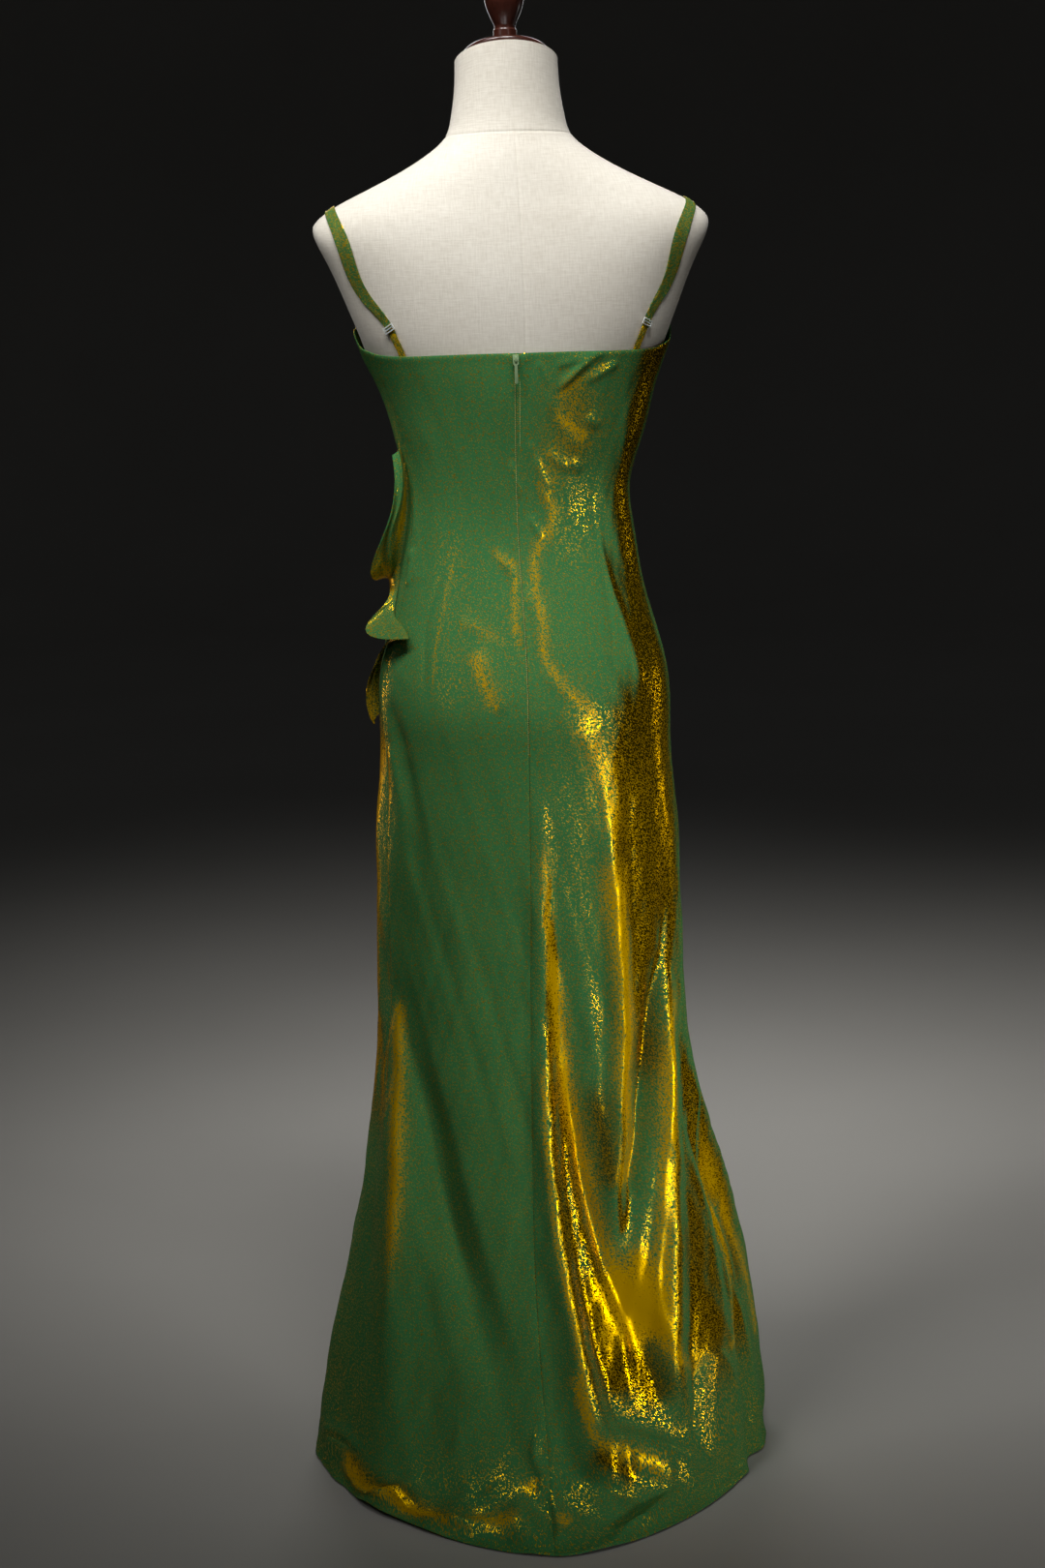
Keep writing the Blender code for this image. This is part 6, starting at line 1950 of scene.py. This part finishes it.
@dataclass
class DressForm:
    """Linen torso with its neck cap and finial, and the stand."""

    columns: int = 176
    rows: int = 190
    neck_seam: float = 1.4165
    groove: float = 0.55 * MM
    groove_wide: float = 1.1 * MM
    seam_angles: tuple[float, ...] = (-4.0, 92.0, 180.0, -92.0)
    cap_rows: tuple[tuple[float, float, float], ...] = (
        (0.0, 0.0003, 0.350), (0.0440, 0.0003, 0.350), (0.0452, 0.0010, 0.350),
        (0.0462, 0.0028, 0.350), (0.0464, 0.0045, 0.346), (0.0460, 0.0062, 0.340),
        (0.0448, 0.0082, 0.325), (0.0425, 0.0108, 0.300), (0.0390, 0.0136, 0.260),
        (0.0350, 0.0158, 0.210), (0.0295, 0.0182, 0.150), (0.0240, 0.0200, 0.095),
        (0.0180, 0.0214, 0.040), (0.0135, 0.0220, 0.000), (0.0, 0.0220, 0.0),
    )
    finial: tuple[tuple[float, float], ...] = (
        (0.0000, 0.0000), (0.0110, 0.0000), (0.0110, 0.0022), (0.0119, 0.0032),
        (0.0119, 0.0108), (0.0106, 0.0124), (0.0106, 0.0150), (0.0138, 0.0220),
        (0.0176, 0.0310), (0.0200, 0.0400), (0.0198, 0.0480), (0.0160, 0.0560),
        (0.0100, 0.0610), (0.0074, 0.0640), (0.0092, 0.0680), (0.0096, 0.0720),
        (0.0070, 0.0762), (0.0000, 0.0784),
    )
    pole: tuple[tuple[float, float], ...] = (
        (0.0, 0.0463), (0.0130, 0.0463), (0.0140, 0.0470), (0.0140, 0.7140), (0.0130, 0.7147),
        (0.0, 0.7147),
    )
    plate: tuple[tuple[float, float], ...] = (
        (0.0, 0.0), (0.1575, 0.0), (0.1590, 0.0006), (0.1600, 0.0022), (0.1600, 0.0066),
        (0.1592, 0.0082), (0.1575, 0.0090), (0.0330, 0.0090), (0.0290, 0.0100),
        (0.0260, 0.0124), (0.0245, 0.0160), (0.0240, 0.0200), (0.0240, 0.0436),
        (0.0232, 0.0453), (0.0215, 0.0460), (0.0, 0.0460),
    )

    def torso(self) -> bpy.types.Object:
        """Linen torso with pressed seams at the neck, centre and sides."""
        low, high = FORM_HEIGHTS[0], FORM_TOP
        height = set(np.linspace(low, high, self.rows).round(6))
        height |= set((self.neck_seam + np.linspace(-4.0, 4.0, 13) * MM).round(6))
        height = np.array(sorted(height, reverse=True))[:, None]
        turn = set(np.linspace(-180.0, 180.0, self.columns, endpoint=False).round(4))
        for seam in self.seam_angles:
            turn |= set(((seam + np.linspace(-2.0, 2.0, 11) + 180.0) % 360.0 - 180.0).round(4))
        turn = np.array(sorted(turn))[None, :]
        radius = np.linalg.norm(form_point(turn, height)[..., :2], axis=-1)
        dip = np.exp(-((height - self.neck_seam) / self.groove_wide) ** 2)
        below = smooth_step(0.0, 0.012, self.neck_seam + 0.002 - height)
        for seam in self.seam_angles:
            away = np.radians(turn_between(turn, seam)) * radius
            dip = dip + 0.7 * np.exp(-(away / self.groove_wide) ** 2) * (0.35 + 0.65 * below)
        points = form_point(turn, height, -self.groove * np.minimum(dip, 1.0))
        mesh = ring_mesh("form_torso", points)
        with edited(mesh) as work:
            verts = list(work.verts)
            count = points.shape[1]
            for row in (0, len(points) - 1):
                middle = work.verts.new(points[row].mean(axis=0))
                ring = verts[row * count:(row + 1) * count]
                for i in range(count):
                    work.faces.new((ring[i], ring[(i + 1) % count], middle))
        turn_out(mesh)
        uv = grid_uv(points)
        lay_uv(mesh, np.concatenate([uv, np.zeros((2, 2))]))
        return link_object("form_linen", smooth(mesh, 60.0))

    def turned(self, workshop: Workshop, name: str, profile: Array, finish: Finish,
               segments: int, lift: float, across: float = 0.0) -> bpy.types.Object:
        """Turned piece at a height, and at a distance back from the middle."""
        chain = [[radius, 0.0, height] for radius, height in profile]
        made = workshop.turned.apply(name, chain_mesh(name, [np.array(chain)]), {
            "Segments": segments, "Material": finish.material()})
        made.data.transform(Matrix.Translation((0.0, across, lift)))
        turn_out(made.data)
        smooth(made.data, 35.0)
        return made

    @staticmethod
    def eased(profile: Sequence[tuple[float, float]], first: int, last: int) -> Array:
        """Profile with a smooth curve through the points of one stretch."""
        data = np.array(profile)
        knots = np.arange(last - first + 1, dtype=float)
        fine = np.linspace(0.0, knots[-1], 6 * (last - first) + 1)
        bend = np.stack([Curve(knots, data[first:last + 1, i]).read(fine) for i in (0, 1)], -1)
        return np.concatenate([data[:first], bend, data[last + 1:]])

    def build(self, workshop: Workshop) -> None:
        """Builds the torso, cap, finial, pole and base."""
        torso = self.torso()
        LINEN.dress(torso)
        place_piece(torso, stands_for=("form_torso",))
        back, front = float(FORM.read("back", FORM_TOP)), float(FORM.read("front", FORM_TOP))
        slope = float(FORM.read("slope", FORM_TOP))
        middle = (back - front) / 2
        top = FORM_TOP + slope * middle
        cap = self.turned(workshop, "neck_cap_turned",
                          np.array([row[:2] for row in self.cap_rows]), WOOD, 96, top, middle)
        tilt = Curve([row[1] for row in self.cap_rows[3:14]],
                     [row[2] for row in self.cap_rows[3:14]])
        for vertex in cap.data.vertices:
            lean = float(tilt.read(vertex.co.z - top))
            vertex.co.z += lean * (vertex.co.y - middle)
        place_piece(cap, stands_for=("neck_cap",))
        vase = self.turned(workshop, "finial_turned", self.eased(self.finial, 6, 17), WOOD, 96,
                           top + 0.0220 + 0.0003, middle)
        place_piece(vase, stands_for=("finial",))
        for name, profile, segments, node in (("pole_tube", self.pole, 64, "pole"),
                                              ("base_turned", self.plate, 128, "base_plate")):
            place_piece(self.turned(workshop, name, np.array(profile), STAND_PAINT, segments, 0.0),
                        stands_for=(node,))


# ---------------------------------------------------------------- studio

@dataclass(frozen=True)
class Lamp:
    """Soft rectangular lamp, placed by its bearing round the gown and aimed at it.

    bearing is 0 behind the gown, at the camera, and + towards the wearer's left.
    """

    name: str
    bearing: float
    distance: float
    height: float
    wide: float
    tall: float
    power: float
    aim: float
    spread: float

    def build(self) -> None:
        """Adds the lamp."""
        light = bpy.data.lights.new(self.name, "AREA")
        light.shape = "RECTANGLE"
        light.size, light.size_y = self.wide, self.tall
        light.energy = self.power
        light.spread = math.radians(self.spread)
        made = bpy.data.objects.new(self.name, light)
        turn = math.radians(self.bearing)
        made.location = (self.distance * math.sin(turn), self.distance * math.cos(turn),
                         self.height)
        way = Vector((0.0, 0.0, self.aim)) - made.location
        made.rotation_euler = way.to_track_quat("-Z", "Y").to_euler()
        made.visible_camera = False
        bpy.context.scene.collection.objects.link(made)


@dataclass
class Studio:
    """Floor, lamps and camera."""

    floor_radius: float = 9.0
    cove_radius: float = 2.5
    wall: float = 9.0
    sides: int = 96
    lamps: tuple[Lamp, ...] = (
        Lamp("key_softbox", -2.0, 1.2, 3.3, 1.0, 0.8, 4.3, 1.72, spread=40.0),
        Lamp("left_key_softbox", 50.0, 1.4, 3.2, 1.0, 0.8, 3.2, 1.66, spread=40.0),
        Lamp("left_fill", 52.0, 3.5, 2.0, 1.4, 1.0, 0.2, 1.45, spread=45.0),
        Lamp("train_softbox", 36.0, 2.2, 2.3, 0.4, 0.4, 0.05, -0.38, spread=20.0),
        Lamp("low_right_softbox", -32.0, 3.0, 0.40, 0.4, 0.8, 0.25, 0.15, spread=36.0),
        Lamp("right_softbox", -30.0, 3.0, 1.6, 0.4, 0.8, 0.14, 1.00, spread=60.0),
        Lamp("low_right_strip", -44.0, 2.8, 0.60, 0.35, 0.8, 0.5, 0.55, spread=22.0),
        Lamp("far_right_strip", -62.0, 2.8, 0.42, 0.30, 0.8, 0.22, 0.12, spread=38.0),
        Lamp("right_rim", -112.0, 2.2, 0.7, 0.25, 0.8, 0.20, 0.60, spread=45.0),
        Lamp("left_rim", 138.0, 2.4, 0.55, 0.3, 0.7, 0.15, 0.55, spread=22.0),
        Lamp("far_softbox", 180.0, 3.0, 2.0, 1.6, 1.0, 3.0, 0.90, spread=60.0),
    )
    ambient: float = 0.03
    # the camera, in degrees and metres; focal is its focal length in frame heights
    side: float = 3.0
    dip: float = 9.6
    roll: float = -1.7
    distance: float = 2.7
    height: float = 1.2
    aside: float = 0.005
    focal: float = 2650.0 / 1620.0

    def floor(self) -> None:
        """Pale floor that rises into a far round wall, with no edge in view."""
        bend = np.linspace(0.0, 0.5 * np.pi, 13)
        radius = [0.0, 2.0, 5.0] + list(self.floor_radius + self.cove_radius * np.sin(bend))
        height = [0.0, 0.0, 0.0] + list(self.cove_radius * (1.0 - np.cos(bend)))
        radius.append(radius[-1])
        height.append(self.wall)
        turn = np.linspace(0.0, 2.0 * np.pi, self.sides, endpoint=False)[None, :]
        reach = np.array(radius)[1:, None]
        rise = np.array(height)[1:, None] + 0.0 * turn
        points = np.stack([reach * np.cos(turn), reach * np.sin(turn), rise], axis=-1)
        mesh = ring_mesh("studio_floor", points)
        with edited(mesh) as work:
            work.verts.ensure_lookup_table()
            work.faces.new([work.verts[i] for i in range(self.sides)])
            bmesh.ops.recalc_face_normals(work, faces=work.faces)
            work.faces.ensure_lookup_table()
            if work.faces[-1].normal.z < 0.0:
                bmesh.ops.reverse_faces(work, faces=work.faces)
        mesh.shade_smooth()
        FLOOR_PAINT.dress(link_object("studio_floor", mesh))

    def camera(self) -> None:
        """Camera behind the gown, turned a little to the wearer's left and tipped down."""
        side, dip, roll = (math.radians(turn) for turn in (self.side, self.dip, self.roll))
        forward = Vector((-math.sin(side) * math.cos(dip), -math.cos(side) * math.cos(dip),
                          -math.sin(dip)))
        right = forward.cross(Vector((0.0, 0.0, 1.0))).normalized()
        up = right.cross(forward)
        place = Vector((self.distance * math.sin(side), self.distance * math.cos(side),
                        self.height)) - right * self.aside
        across = right * math.cos(roll) + up * math.sin(roll)
        above = up * math.cos(roll) - right * math.sin(roll)
        data = bpy.data.cameras.new("back_view")
        data.lens = 36.0 * self.focal
        made = bpy.data.objects.new("back_view", data)
        made.matrix_world = Matrix.Translation(place) @ Matrix(
            (across, above, -forward)).transposed().to_4x4()
        bpy.context.scene.collection.objects.link(made)
        bpy.context.scene.camera = made

    def build(self) -> None:
        """Builds the studio."""
        self.floor()
        for lamp in self.lamps:
            lamp.build()
        world = bpy.data.worlds.new("dim_room")
        world.use_nodes = True
        back = world.node_tree.nodes["Background"]
        back.inputs["Color"].default_value = linear("#e9ecf0")
        back.inputs["Strength"].default_value = self.ambient
        bpy.context.scene.world = world
        bpy.context.scene.view_settings.view_transform = "Standard"
        self.camera()
        LOG.info("studio: %d lamps", len(self.lamps))


def main() -> None:
    """Builds the studio and the piece classes in order."""
    logging.basicConfig(level=logging.INFO, format="%(name)s: %(message)s")
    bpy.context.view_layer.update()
    workshop = Workshop()
    Studio().build()
    DressForm().build(workshop)
    Gown().build(workshop)
    Flounce().build(workshop)
    Straps().build(workshop)
    Zip().build(workshop)


if __name__ == "__main__":
    main()
